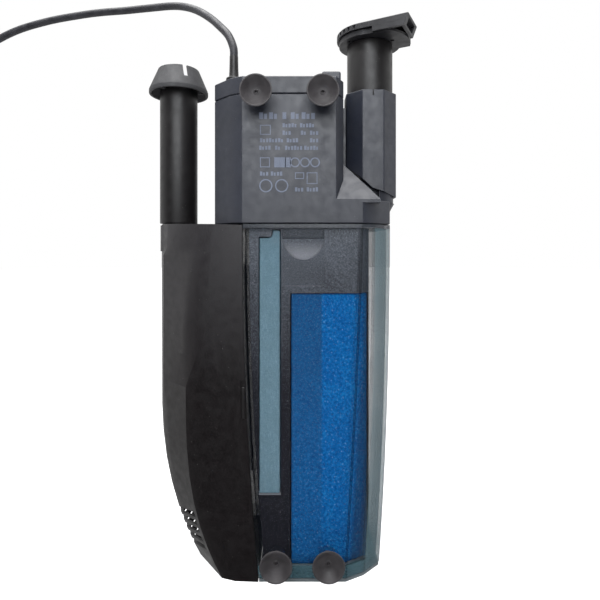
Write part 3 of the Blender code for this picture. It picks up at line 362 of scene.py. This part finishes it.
def refined(node, material, edge=0.4 * MM, angle=28):
    """The node's own shape with its flat faces made whole, its edges rounded and its curves shaded smooth."""
    bm = bmesh.new()
    bm.from_mesh(NODES[node].data)
    bmesh.ops.remove_doubles(bm, verts=bm.verts, dist=0.002 * MM)
    bmesh.ops.dissolve_limit(bm, angle_limit=math.radians(0.6), verts=bm.verts, edges=bm.edges)
    sharp = [e for e in bm.edges if e.is_manifold and e.calc_face_angle(0) > math.radians(angle)]
    bmesh.ops.bevel(bm, geom=sharp, offset=edge, segments=2, profile=0.5, affect="EDGES", clamp_overlap=True)
    bmesh.ops.recalc_face_normals(bm, faces=bm.faces)
    raw = bpy.data.meshes.new(node + "_raw")
    bm.to_mesh(raw)
    bm.free()
    raw.shade_smooth()
    raw.set_sharp_from_angle(angle=math.radians(angle + 4))
    mesh = modified(raw, node + "_fine", "WEIGHTED_NORMAL", keep_sharp=True)
    return piece(node + "_fine", mesh, material, BODY_OF[node], node)


LATHE_STEPS = 96


def lathe(name, profile, centre, material, body, *nodes, turn=None):
    """A turned piece: profile is (radius, height) pairs down its outer side and up its inner one, closed."""
    bm = bmesh.new()
    rings = []
    for radius, height in profile:
        if radius < 1e-7:
            rings.append([bm.verts.new((0, 0, height))])
            continue
        around = [2 * math.pi * i / LATHE_STEPS for i in range(LATHE_STEPS)]
        rings.append([bm.verts.new((radius * math.cos(a), radius * math.sin(a), height)) for a in around])
    pairs = list(zip(rings, rings[1:]))
    if len(rings[0]) > 1 or len(rings[-1]) > 1:
        pairs.append((rings[-1], rings[0]))
    for upper, lower in pairs:
        for i in range(LATHE_STEPS):
            j = (i + 1) % LATHE_STEPS
            # A ring of one vertex is a point on the axis.
            corners = [ring[k % len(ring)] for ring, k in ((upper, i), (lower, i), (lower, j), (upper, j))]
            corners = [v for k, v in enumerate(corners) if v not in corners[:k]]
            if len(corners) > 2:
                bm.faces.new(corners)
    bm.transform(Matrix.Translation(centre) @ (turn or Matrix.Identity(4)))
    bmesh.ops.recalc_face_normals(bm, faces=bm.faces)
    mesh = bpy.data.meshes.new(name)
    bm.to_mesh(mesh)
    bm.free()
    mesh.shade_smooth()
    mesh.set_sharp_from_angle(angle=math.radians(32))
    piece(name, mesh, material, body, *nodes)


def rounded(profile, radius, count=3):
    """The profile with each corner turned into a short arc."""
    points = [Vector(p) for p in profile]
    out = []
    for i, corner in enumerate(points):
        before, after = points[i - 1], points[(i + 1) % len(points)]
        ways = (before - corner, after - corner)
        reach = min(radius, *(0.45 * way.length for way in ways))
        if corner.x < 1e-7 or reach < 0.02 * MM:
            out.append(tuple(corner))
            continue
        start, end = (corner + way.normalized() * reach for way in ways)
        for k in range(count + 1):
            t = k / count
            out.append(tuple(start * (1 - t) ** 2 + corner * 2 * t * (1 - t) + end * t**2))
    return out


def dress(node, finish):
    """A CAD node that stays as it is and takes a finish."""
    mesh = NODES[node].data
    mesh.materials.clear()
    mesh.materials.append(finish.material)


def porous(name, node, material, cell, depth):
    """A soft block remade as a skin of small cells, which noise pushes in and out inside its solid."""
    mesh = modified(NODES[node].data.copy(), name, "REMESH", mode="VOXEL", voxel_size=cell)
    normals = [vert.normal.copy() for vert in mesh.vertices]
    for vert, normal in zip(mesh.vertices, normals):
        rough = noise.noise(vert.co / (2 * cell)) + 0.6 * noise.noise(vert.co / (5 * cell))
        vert.co -= normal * depth * (0.75 + 0.6 * rough)
    mesh.shade_smooth()
    made = piece(name, mesh, material, BODY_OF[node], node)
    return made


# Clear canister ------------------------------------------------------------------------------

FRONT = -36 * MM
LEAN_TOP = 215 * MM
CANISTER_FOOT = 2.3 * MM
CANISTER_TOP = 215.2 * MM
WALL = 2.2 * MM
RIM_THICK = 3.4 * MM
RIM_FOOT = 212.6 * MM
WINDOW_HALF = 20 * MM
WINDOW_Z = (60 * MM, 190 * MM)
WINDOW_STEPS = 30
FOOT_LEVELS = (10 * MM, 18 * MM, 28 * MM, 39 * MM, 51 * MM)
NECK_LEVEL = 201 * MM
UNDER_RIM = 212.4 * MM
FOOT_STRIP = 8 * MM
CREASE_WIDTH = 0.32 * MM
# Material slots after the clear wall's, and how squarely a face on the right looks sideways to get one.
CREASE, RIM, SIDE, BEND = range(1, 5)
SIDE_FACING = 0.6
BEND_FACING = 0.3


def lean(z, shift, power):
    """How far the wall has moved in at height z: shift at the base, nothing at the top."""
    return shift * max(0.0, 1 - z / LEAN_TOP) ** power


def canister_outline(z):
    """Counter-clockwise from the seam's front end."""
    low = max(0.0, 1 - z / LEAN_TOP)
    seam = -36.1 * MM + lean(z, 9.8 * MM, 2)
    face = 36.2 * MM - lean(z, 10.2 * MM, 1.3)
    middle = (44 * MM - lean(z, 6.4 * MM, 2), FRONT + (4 + 2 * low) * MM)
    corner = (55.5 * MM - lean(z, 7.1 * MM, 2.2), FRONT + 16 * MM)
    front = [(seam, FRONT), (face, FRONT), middle, corner]
    return front + [(x, -y) for x, y in reversed(front)]


def inset(outline, distance):
    """The convex counter-clockwise outline moved inwards by distance."""
    lines = []
    for i, point in enumerate(outline):
        start, end = Vector(point), Vector(outline[(i + 1) % len(outline)])
        along = (end - start).normalized()
        lines.append((start + Vector((-along.y, along.x)) * distance, along))
    points = []
    for i in range(len(outline)):
        (a, u), (b, v) = lines[i - 1], lines[i]
        step = ((b - a).x * v.y - (b - a).y * v.x) / (u.x * v.y - u.y * v.x)
        points.append(tuple(a + u * step))
    return points


def canister_ring(z, thick=0.0, height=None):
    """One level of the wall, with the window's two ends marked on the seam side."""
    outline = inset(canister_outline(z), thick) if thick else canister_outline(z)
    seam = outline[0][0]
    outline += [(seam, WINDOW_HALF), (seam, -WINDOW_HALF)]
    return [(x, y, z if height is None else height) for x, y in outline]


def make_canister(clear, edge, rim, side, bend):
    """The smoked canister: clear walls, darker creases, rim, foot and chamfers, and the housing's window."""
    low, high = WINDOW_Z
    levels = [low + (high - low) * i / WINDOW_STEPS for i in range(WINDOW_STEPS + 1)]
    rising = (CANISTER_FOOT, *FOOT_LEVELS, *levels, NECK_LEVEL, RIM_FOOT, CANISTER_TOP)
    falling = (UNDER_RIM, NECK_LEVEL, *reversed(levels), *reversed(FOOT_LEVELS))
    outer = [canister_ring(z) for z in rising]
    inner = [canister_ring(z, RIM_THICK) for z in (CANISTER_TOP, RIM_FOOT)]
    inner += [canister_ring(z, WALL) for z in falling]
    inner.append(canister_ring(CANISTER_FOOT, WALL, CANISTER_FOOT + WALL))
    bm = bmesh.new()
    rows = [[bm.verts.new(point) for point in ring] for ring in outer + inner]
    count = len(rows[0])
    for lower, upper in zip(rows, rows[1:]):
        inside = all(low - 1e-7 <= row[0].co.z <= high + 1e-7 for row in (lower, upper))
        for i in range(count):
            if inside and i == count - 2:
                continue
            j = (i + 1) % count
            bm.faces.new((lower[i], lower[j], upper[j], upper[i]))
    bm.faces.new(reversed(rows[0]))
    bm.faces.new(rows[-1])
    bmesh.ops.bridge_loops(bm, edges=[e for e in bm.edges if e.is_boundary])
    bmesh.ops.recalc_face_normals(bm, faces=bm.faces)
    for face in bm.faces:
        x, _, z = face.calc_center_median()
        if z > RIM_FOOT - 0.3 * MM:
            face.material_index = RIM
        elif z < FOOT_STRIP or x > 0 and abs(face.normal.x) > SIDE_FACING:
            face.material_index = SIDE
        elif x > 0 and abs(face.normal.x) > BEND_FACING:
            face.material_index = BEND
    creases = [e for e in bm.edges if e.is_manifold and e.calc_face_angle(0) > math.radians(9)]
    bmesh.ops.bevel(
        bm, geom=creases, offset=CREASE_WIDTH, segments=2, profile=0.5, affect="EDGES", material=CREASE
    )
    mesh = bpy.data.meshes.new("canister_walls")
    bm.to_mesh(mesh)
    bm.free()
    mesh.shade_smooth()
    mesh.set_sharp_from_angle(angle=math.radians(30))
    kinds = [face.material_index for face in mesh.polygons]
    piece("canister_walls", mesh, clear, BODY_OF["canister_shell"], "canister_shell")
    for other in (edge, rim, side, bend):
        mesh.materials.append(other)
    mesh.polygons.foreach_set("material_index", kinds)


# Turned pieces and print ---------------------------------------------------------------------


# Profiles of turned pieces are (radius, height) pairs in millimetres.
OUTLET_AXIS = 45.5 * MM
OUTLET_SIDE = [(15.1, 336), (15.1, 272), (13.4, 272), (13.4, 336)]
SKIMMER_AXIS = -83.2 * MM
SKIMMER_SIDE = [
    (12.3, 309), (12.3, 217), (10.7, 217), (10.7, 201.8), (9.2, 201.8), (9.2, 217), (10.7, 221), (10.7, 309),
]
BOOT_SIDE = [
    (0, 320), (2.62, 320), (2.75, 312), (3, 306.2), (4.8, 305.9), (4.8, 304.3), (3, 304.3), (3, 299), (0, 299),
]
HOLDER_SIDE = [(4.6, 5), (5.2, 0.3), (2.9, 0.3), (2.9, 5)]
# A suction cup from the middle outwards: nipple, hollow dish, lip, the dish's back, and neck.
CUP_NIPPLE = [(0, 7.5), (0.9, 7.5), (0.95, 8.9), (1.25, 9.05)]
DISH_RADII = (1.7, 3, 4.4, 5.8, 7.2, 8.2, 8.7)
DISH_START, DISH_RISE, DISH_POWER, DISH_THICK = 8.7, 4.3, 2.3, 1.1
CUP_LIP = [(9.05, 13), (9.5, 12.9), (9.5, 12.5)]
CUP_NECK = [(3.2, 7.1), (2.6, 6.1), (2.6, 0.8), (0, 0.8)]


def make_turned(black, clear, cup):
    """Pipes, gland, cup holders and suction cups, round all the way."""

    def in_mm(profile, radius=0.4):
        return rounded([(r * MM, z * MM) for r, z in profile], radius * MM)

    lathe("outlet_pipe", in_mm(OUTLET_SIDE), (OUTLET_AXIS, 0, 0), black, "telescope", "outlet_tube")
    lathe("skimmer_pipe", in_mm(SKIMMER_SIDE), (SKIMMER_AXIS, 0, 0), black, "skimmer", "skimmer_tube")
    lathe("cable_boot", in_mm(BOOT_SIDE, 0.5), (*CORD_EXIT[:2], 0), black, "pump_head", "cable_gland")
    forward = Matrix.Rotation(math.pi / 2, 4, "X")
    dish = [(r, DISH_START + DISH_RISE * (r / DISH_RADII[-1]) ** DISH_POWER) for r in DISH_RADII]
    back = [(r, z - DISH_THICK) for r, z in reversed(dish[2:-1])]
    cup_side = CUP_NIPPLE + dish + CUP_LIP + back + CUP_NECK
    for place in ("upper_left", "upper_right", "lower_left", "lower_right"):
        node = "suction_cup_" + place
        near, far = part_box(node)
        centre = ((near[0] + far[0]) / 2, FRONT, (near[2] + far[2]) / 2)
        lathe(node + "_fine", in_mm(cup_side, 0.15), centre, cup, BODY_OF[node], node, turn=forward)
        node = "cup_holder_" + place
        finish = clear if BODY_OF[node] == "case" else black
        lathe(node + "_fine", in_mm(HOLDER_SIDE, 0.3), centre, finish, BODY_OF[node], node, turn=forward)


# The outline of a finger in (distance from the cap's axis, height) pairs, in millimetres.
FINGER_SIDE = [(8.6, 297), (10.1, 297), (10.1, 309.6), (13.5, 309.6), (13.5, 310.8), (8.6, 310.8)]
FINGER_HALF = 0.8 * MM
FINGER_ANGLES = (0, 120, 240)


def make_fingers(material):
    """Three hooked fingers from the skimmer cap's ribs into the tube, which keep it on as it slides."""
    bm = bmesh.new()
    near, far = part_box("skimmer_cap")
    centre = ((near[0] + far[0]) / 2, (near[1] + far[1]) / 2, 0)
    for angle in FINGER_ANGLES:
        turn = Matrix.Translation(centre) @ Matrix.Rotation(math.radians(angle), 4, "Z")
        left, right = (
            [bm.verts.new(turn @ Vector((r * MM, y, z * MM))) for r, z in FINGER_SIDE]
            for y in (-FINGER_HALF, FINGER_HALF)
        )
        bm.faces.new(left)
        bm.faces.new(reversed(right))
        for i in range(len(left)):
            bm.faces.new((left[i - 1], right[i - 1], right[i], left[i]))
    bmesh.ops.recalc_face_normals(bm, faces=bm.faces)
    bmesh.ops.bevel(bm, geom=bm.edges[:], offset=0.2 * MM, segments=2, profile=0.5, affect="EDGES")
    mesh = bpy.data.meshes.new("crown_fingers")
    bm.to_mesh(mesh)
    bm.free()
    piece("crown_fingers", mesh, material, BODY_OF["skimmer_cap"], slot="cap_grey")


PRINT_THICK = 0.05 * MM
PRINT_LINE = 0.55 * MM
RING_STEPS = 28
# Each row of bars is its top, its bars' height, and the start and length of each word, in millimetres.
PRINT_ROWS = [
    (282, 4, [(-26, 5), (-20, 7), (-12, 4), (-7, 5.5), (-0.5, 10)]),
    (275.5, 2.5, [(-12, 9), (-1.5, 9.5)]),
    (271, 2.5, [(-12, 5.5), (-1, 4), (4.5, 5.5)]),
    (266.5, 2.5, [(-25.5, 14), (-9.5, 8), (4.5, 5.5)]),
    (262, 2.5, [(-26, 8), (-16.5, 4), (-10.5, 10), (1, 9)]),
    (255, 6, [(-17, 2.5), (-13.5, 2), (-10.5, 2.5)]),
    (246.5, 2.5, [(-25.5, 5.5), (-19, 7)]),
    (237, 2.5, [(-4.5, 5), (2.5, 7)]),
]
# Left edge, top, width and height of each frame; middle, height and radius of each ring.
PRINT_BOXES = [(-25.5, 274.5, 6.5, 6), (-25.5, 255, 6, 6), (-4.5, 246, 5.5, 4), (2.5, 246, 6.5, 7)]
PRINT_RINGS = [(-4.5, 252, 3), (1.5, 252, 3), (7.5, 252, 3), (-22, 238, 4), (-12.5, 238, 4)]


def slab(bm, outline, hole=None):
    """A thin flat mark on the head's face: an outline of (x, z) points, with a hole of as many points."""
    count = len(outline)
    fronts = [FRONT - PRINT_THICK, FRONT]
    rings = [[bm.verts.new((x, y, z)) for x, z in shape] for shape in (outline, hole or []) for y in fronts]
    near, far, hole_near, hole_far = rings
    for i in range(count):
        j = (i + 1) % count
        bm.faces.new((near[i], near[j], far[j], far[i]))
        if hole:
            bm.faces.new((hole_far[i], hole_far[j], hole_near[j], hole_near[i]))
            bm.faces.new((hole_near[i], hole_near[j], near[j], near[i]))
            bm.faces.new((far[i], far[j], hole_far[j], hole_far[i]))
    if not hole:
        bm.faces.new(near)
        bm.faces.new(reversed(far))


def oblong(left, top, width, tall):
    return [(left, top - tall), (left + width, top - tall), (left + width, top), (left, top)]


def make_print(ink):
    """Rows of plain bars, empty frames and rings where such a head carries its printing."""
    bm = bmesh.new()
    for top, tall, words in PRINT_ROWS:
        pitch = 0.72 * tall * MM
        for start, length in words:
            for k in range(max(1, round(length * MM / pitch))):
                wide = pitch * (0.8, 0.62, 0.74)[k % 3]
                high = tall * MM * (1.0, 0.78, 0.9)[k % 3]
                foot = (top - tall) * MM
                slab(bm, oblong(start * MM + k * pitch, foot + high, wide, high))
    for sizes in PRINT_BOXES:
        left, top, width, tall = (size * MM for size in sizes)
        inner = (left + PRINT_LINE, top - PRINT_LINE, width - 2 * PRINT_LINE, tall - 2 * PRINT_LINE)
        slab(bm, oblong(left, top, width, tall), oblong(*inner))
    for sizes in PRINT_RINGS:
        x, z, radius = (size * MM for size in sizes)
        turns = [2 * math.pi * i / RING_STEPS for i in range(RING_STEPS)]
        radii = (radius, radius - 1.4 * PRINT_LINE)
        slab(bm, *([(x + r * math.cos(a), z + r * math.sin(a)) for a in turns] for r in radii))
    bmesh.ops.recalc_face_normals(bm, faces=bm.faces)
    mesh = bpy.data.meshes.new("face_print")
    bm.to_mesh(mesh)
    bm.free()
    piece("face_print", mesh, ink, "pump_head")


# Cord ----------------------------------------------------------------------------------------

CORD_RADIUS = 2.5 * MM
CORD_EXIT = (-42.6 * MM, -25.5 * MM, 319.6 * MM)
LEAD_ROUTE = [
    (-42.6, -25.5, 319.6),
    (-42.9, -25.2, 325),
    (-46.4, -22.0, 334),
    (-52.4, -17.0, 342),
    (-59.8, -10.5, 350.5),
    (-69.5, -2.0, 359.5),
    (-80.0, 6.5, 366.5),
    (-92.0, 14.0, 371),
    (-111, 22.0, 373.5),
    (-130, 27.5, 374.5),
    (-147, 31.0, 375),
    (-164, 34.0, 374.5),
    (-192, 37.0, 371),
    (-219, 38.0, 363),
    (-244, 38.0, 348),
    (-265, 37.5, 326),
    (-281, 37.0, 296),
    (-291, 36.5, 258),
    (-296, 36.0, 215),
    (-298, 35.5, 168),
    (-298.2, 35.5, 120),
    (-298.2, 35.5, 75),
    (-298.2, 35.0, 45),
    (-298.2, 32.5, 28),
    (-298.1, 27.0, 14.5),
    (-298, 18.5, 6.2),
    (-298, 8.0, 3.6),
]
TAIL_ROUTE = [
    (-295.5, -31.5, 12.4),
    (-294.6, -39, 11.4),
    (-291.3, -47, 10.2),
    (-285.8, -53.6, 9),
    (-278.6, -58.2, 7.9),
    (-273, -59.8, 7.3),
    (-267.6, -60, 7.1),
]
COIL_AT = (-269.5, -10)
COIL_TURNS = [(28.5, 3.5), (23.5, 3.5), (23.5, 8.5), (28.5, 8.5), (26, 13.5)]
COIL_STEPS = 24
# The share of a turn where it starts to cross to the next one, and the share that this takes.
CROSS_START, CROSS_SPAN = 0.7, 0.3


def coil_route():
    """The coil's turns, starting and ending on its -X side. Each crosses to the next near its end."""
    route = []
    for turn, (radius, height) in enumerate(COIL_TURNS):
        following = COIL_TURNS[min(turn + 1, len(COIL_TURNS) - 1)]
        for step in range(COIL_STEPS):
            share = step / COIL_STEPS
            cross = max(0.0, share - CROSS_START) / CROSS_SPAN
            cross = cross * cross * (3 - 2 * cross)
            angle = math.pi + 2 * math.pi * share
            now = radius + (following[0] - radius) * cross
            lift = height + (following[1] - height) * cross
            route.append((COIL_AT[0] + now * math.cos(angle), COIL_AT[1] + now * math.sin(angle), lift))
    return route


def smooth_path(points, spacing):
    """Evenly spread points of a smooth curve through the given ones."""
    points = [Vector(p) for p in points]
    ends = [2 * points[0] - points[1], *points, 2 * points[-1] - points[-2]]
    fine = []
    for a, b, c, d in zip(ends, ends[1:], ends[2:], ends[3:]):
        for i in range(12):
            t = i / 12
            bend = (2 * a - 5 * b + 4 * c - d) * t**2 + (3 * b - a - 3 * c + d) * t**3
            fine.append((2 * b + (c - a) * t + bend) / 2)
    fine.append(points[-1])
    run = [0.0]
    for first, second in zip(fine, fine[1:]):
        run.append(run[-1] + (second - first).length)
    count = max(2, round(run[-1] / spacing))
    spread, i = [], 0
    for k in range(count + 1):
        want = run[-1] * k / count
        while i < len(run) - 2 and run[i + 1] < want:
            i += 1
        part = (want - run[i]) / max(run[i + 1] - run[i], 1e-9)
        spread.append(fine[i].lerp(fine[i + 1], min(1, part)))
    return spread


def tube(name, path, radius, sides=20):
    """A round tube along the path, capped at both ends. Its rings turn with the path without twisting."""
    bm = bmesh.new()
    rings = []
    across = Vector((0, 1, 0))
    for i, point in enumerate(path):
        ahead = (path[min(i + 1, len(path) - 1)] - path[max(i - 1, 0)]).normalized()
        across = (across - ahead * across.dot(ahead)).normalized()
        other = ahead.cross(across)
        ring = []
        for k in range(sides):
            angle = 2 * math.pi * k / sides
            ring.append(bm.verts.new(point + (across * math.cos(angle) + other * math.sin(angle)) * radius))
        rings.append(ring)
    for lower, upper in zip(rings, rings[1:]):
        for i in range(sides):
            j = (i + 1) % sides
            bm.faces.new((lower[i], lower[j], upper[j], upper[i]))
    bm.faces.new(reversed(rings[0]))
    bm.faces.new(rings[-1])
    bmesh.ops.recalc_face_normals(bm, faces=bm.faces)
    mesh = bpy.data.meshes.new(name)
    bm.to_mesh(mesh)
    bm.free()
    mesh.shade_smooth()
    mesh.set_sharp_from_angle(angle=math.radians(60))
    return mesh


def make_cord(material):
    """The lead from where it leaves the pump head to its coil and tail, as one tube that stays where it is
    laid.
    """
    end_of_coil = (COIL_AT[0] - COIL_TURNS[-1][0], COIL_AT[1], COIL_TURNS[-1][1])
    route = LEAD_ROUTE + coil_route() + [end_of_coil] + TAIL_ROUTE
    path = smooth_path([Vector(p) * MM for p in route], 2.5 * MM)
    mesh = tube("power_cord", path, CORD_RADIUS)
    mesh.materials.append(material)
    cord = bpy.data.objects.new("power_cord", mesh)
    bpy.context.scene.collection.objects.link(cord)
    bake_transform(cord)
    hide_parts("cord_lead", "cord_coil", "cord_tail")


# Finishes ------------------------------------------------------------------------------------


def smoke_clear(name, tint, density, roughness=0.14, bump=0.012 * MM, denser=(27, 30.5, 1)):
    """Smoked see-through plastic, a little hazy, with faint flow marks down the wall.

    denser is two depths in millimetres and how many times denser it is past the second one."""
    finish = Finish(name, roughness, specular=0.4)
    haze = finish.grain(30 * MM, 3)
    streaks = finish.grain(5 * MM, 3, place=finish.stretched((1, 1, 0.1)))
    finish.feed("Base Color", finish.mix(finish.ranged(haze, 0.3, 0.7), tint, tuple(c * 1.2 for c in tint)))
    facing = finish.add("ShaderNodeLayerWeight", Blend=0.5).outputs["Facing"]
    grazing = finish.ranged(facing, 0.35, 0.9, density, min(0.9, density + 0.35))
    cloudy = finish.ranged(finish.calc(haze, streaks), 0.7, 1.3, 0.93, 1.07)
    depth = finish.calc(finish.add("ShaderNodeSeparateXYZ", Vector=finish.place).outputs["Y"], 0.0, "ABSOLUTE")
    start, end, times = denser
    thicker = finish.ranged(depth, start * MM, end * MM, 1.0, times)
    finish.feed("Alpha", finish.calc(finish.calc(grazing, cloudy, "MULTIPLY"), thicker, "MULTIPLY"))
    uneven = finish.grain(3 * MM, 3)
    finish.feed("Roughness", finish.ranged(uneven, 0.3, 0.7, roughness * 0.7, roughness * 1.4))
    finish.feed("Normal", finish.bump(streaks, bump))
    return finish


def foam_finish():
    """Open-cell foam: dark pores, bright threads, and pale specks where cut cells catch the light."""
    finish = Finish("foam_blue", 0.95, specular=0.1)
    pores = finish.cells(1.3 * MM)
    fine = finish.grain(1.6 * MM, 4, 0.75)
    cloud = finish.grain(11 * MM, 3)
    tone = finish.mix(finish.ranged(pores, 0.1, 0.6), (0.0, 0.075, 0.27), (0.0, 0.125, 0.40))
    tone = finish.mix(finish.ranged(fine, 0.47, 0.68, 0, 0.85), tone, (0.012, 0.23, 0.58))
    tone = finish.mix(finish.ranged(fine, 0.5, 0.3, 0, 0.6), tone, (0.0, 0.035, 0.15))
    tone = finish.mix(finish.ranged(cloud, 0.35, 0.7, 0, 0.3), tone, (0.0, 0.065, 0.27))
    specks = finish.ranged(finish.cells(2.6 * MM), 0.2, 0.08)
    tone = finish.mix(finish.calc(specks, 0.55, "MULTIPLY"), tone, (0.16, 0.42, 0.75))
    # The half beside the divider is shaded and greyer, most of all at the top.
    axes = finish.add("ShaderNodeSeparateXYZ", Vector=finish.place)
    half = finish.ranged(axes.outputs["X"], 12.6 * MM, 11.2 * MM)
    shaded = finish.calc(half, finish.ranged(axes.outputs["Z"], 20 * MM, 130 * MM, 0.22, 0.58), "MULTIPLY")
    tone = finish.mix(shaded, tone, (0.016, 0.062, 0.14))
    finish.feed("Base Color", tone)
    normal = finish.bump(finish.ranged(pores, 0.0, 0.6), 0.3 * MM)
    finish.feed("Normal", finish.bump(fine, 0.2 * MM, normal))
    return finish


def wool_finish():
    """Fibrous filter wool, matted, with threads running every way."""
    finish = Finish("wool_pale", 0.95, specular=0.1)
    along = finish.grain(0.6 * MM, 4, 0.7, finish.stretched((1, 1, 0.2)))
    across = finish.grain(0.6 * MM, 4, 0.7, finish.stretched((0.2, 0.2, 1)))
    tufts = finish.grain(7 * MM, 3)
    threads = finish.calc(along, across, "MAXIMUM")
    tone = finish.mix(finish.ranged(threads, 0.4, 0.7), (0.115, 0.205, 0.265), (0.20, 0.32, 0.385))
    tone = finish.mix(finish.ranged(tufts, 0.35, 0.7, 0, 0.4), tone, (0.13, 0.215, 0.26))
    finish.feed("Base Color", tone)
    finish.feed("Normal", finish.bump(threads, 0.25 * MM))
    return finish


def rubber_finish(name, colour, roughness=0.42):
    """Soft moulded rubber with a faint bloom and a smooth skin."""
    finish = Finish(name, roughness, specular=0.45)
    bloom = finish.grain(7 * MM, 4)
    fine = finish.grain(0.35 * MM, 2)
    pale = tuple(c * 1.9 for c in colour)
    finish.feed("Base Color", finish.mix(finish.ranged(bloom, 0.35, 0.75, 0, 0.8), colour, pale))
    finish.feed("Roughness", finish.ranged(bloom, 0.3, 0.7, roughness * 0.8, roughness * 1.3))
    finish.feed("Normal", finish.bump(fine, 0.003 * MM))
    return finish


def metal_finish(name, colour, roughness, metallic=1.0, brush=(1, 1, 0.1)):
    finish = Finish(name, roughness, metallic)
    lines = finish.grain(0.4 * MM, 3, 0.6, finish.stretched(brush))
    dull = finish.grain(6 * MM, 3)
    darker = tuple(c * 0.6 for c in colour)
    finish.feed("Base Color", finish.mix(finish.ranged(dull, 0.3, 0.7), darker, colour))
    finish.feed("Roughness", finish.ranged(lines, 0.3, 0.7, roughness * 0.7, roughness * 1.4))
    finish.feed("Normal", finish.bump(lines, 0.01 * MM))
    return finish


# Building ------------------------------------------------------------------------------------

place_camera()
light_studio()
lay_floor()

BLACK = moulded("housing_black", (0.0075, 0.0065, 0.007), 0.42, specular=0.55)
# The housing is painted paler towards its top, as painted light from above.
HOUSING = moulded(
    "housing_wide", (0.0045, 0.003, 0.0035), 0.42, grain=0.9 * MM, depth=0.03 * MM, specular=0.5, lift=3,
    upper=(0.021, 0.020, 0.0225),
)
SLATE = moulded("head_slate", (0.013, 0.016, 0.027), 0.46, specular=0.8)
CAP = moulded("cap_grey", (0.035, 0.035, 0.038), 0.6, dust=0.2)
NOZZLE = moulded("nozzle_black", (0.013, 0.013, 0.016), 0.45, specular=0.7)
SPECKLED = speckled("basket_speckled", (0.006, 0.005, 0.010), (0.112, 0.126, 0.15))
SMOKE = smoke_clear("smoke_clear", (0.022, 0.026, 0.035), 0.09)
SMOKE_BEND = smoke_clear("smoke_bend", (0.022, 0.030, 0.040), 0.1, denser=(32.8, 31.6, 3.5))
SMOKE_EDGE = smoke_clear("smoke_edge", (0.008, 0.010, 0.012), 0.5, roughness=0.3, bump=0)
SMOKE_RIM = smoke_clear("smoke_rim", (0.045, 0.050, 0.060), 0.6, roughness=0.3)
SMOKE_SIDE = smoke_clear("smoke_side", (0.05, 0.10, 0.12), 0.38, bump=0, denser=(27, 30.5, 1.65))
INK = moulded("print_ink", (0.12, 0.14, 0.19), 0.6, lift=1.25, dust=0)
FLOOR_GREY = moulded("base_grey", (0.11, 0.13, 0.14), 0.45, lift=1.3)
FOAM = foam_finish()
WOOL = wool_finish()
CUP = rubber_finish("cup_rubber", (0.030, 0.027, 0.029), 0.5)
SOFT_BLACK = rubber_finish("rubber_black", (0.014, 0.014, 0.016), 0.5)
CABLE = rubber_finish("cable_black", (0.02, 0.02, 0.024), 0.45)
NATURAL = moulded("natural_white", (0.66, 0.66, 0.61), 0.45, lift=1.1)
CERAMIC = moulded("ceramic_white", (0.78, 0.76, 0.70), 0.2, lift=1.1, dust=0)
FERRITE = metal_finish("ferrite", (0.06, 0.06, 0.065), 0.55, 0.4)
LAMINATION = metal_finish("lamination_steel", (0.42, 0.42, 0.43), 0.35, brush=(0.1, 0.1, 1))
COPPER = metal_finish("copper_wire", (0.62, 0.26, 0.11), 0.35, brush=(0.1, 0.1, 1))
NICKEL = metal_finish("pin_metal", (0.72, 0.70, 0.66), 0.22)
FINISHES = {
    "housing_black": BLACK,
    "head_slate": SLATE,
    "cap_grey": CAP,
    "basket_speckled": SPECKLED,
    "smoke_clear": SMOKE,
    "foam_blue": FOAM,
    "wool_pale": WOOL,
    "cup_rubber": CUP,
    "rubber_black": SOFT_BLACK,
    "cable_black": CABLE,
    "natural_white": NATURAL,
    "ceramic_white": CERAMIC,
    "ferrite": FERRITE,
    "lamination_steel": LAMINATION,
    "copper_wire": COPPER,
    "pin_metal": NICKEL,
}
SLOT_OF = {row["node"]: row["material_slot"] for row in frame["record"]["subparts"]}

for node in NODES:
    dress(node, FINISHES[SLOT_OF[node]])
plug = [refined(node, FINISHES[SLOT_OF[node]].material, 0.3 * MM) for node in ("plug_body", "cord_tie")]
make_cord(CABLE.material)
for node in ("motor_housing", "motor_cap", "outlet_sleeve", "skimmer_cap", "media_basket", "side_clip"):
    refined(node, FINISHES[SLOT_OF[node]].material, angle=20)
for node in ("nozzle_base", "nozzle_cover"):
    refined(node, NOZZLE.material, angle=20)
refined("intake_housing", HOUSING.material, angle=24, edge=0.3 * MM)
refined("base_plate", FLOOR_GREY.material, angle=20)
make_canister(*(kind.material for kind in (SMOKE, SMOKE_EDGE, SMOKE_RIM, SMOKE_SIDE, SMOKE_BEND)))
porous("foam_block", "foam_sponge", FOAM.material, 1.5 * MM, 0.35 * MM)
porous("wool_sheet", "wool_pad", WOOL.material, 1.2 * MM, 0.3 * MM)
make_turned(BLACK.material, SMOKE.material, CUP.material)
make_fingers(CAP.material)
make_print(INK.material)
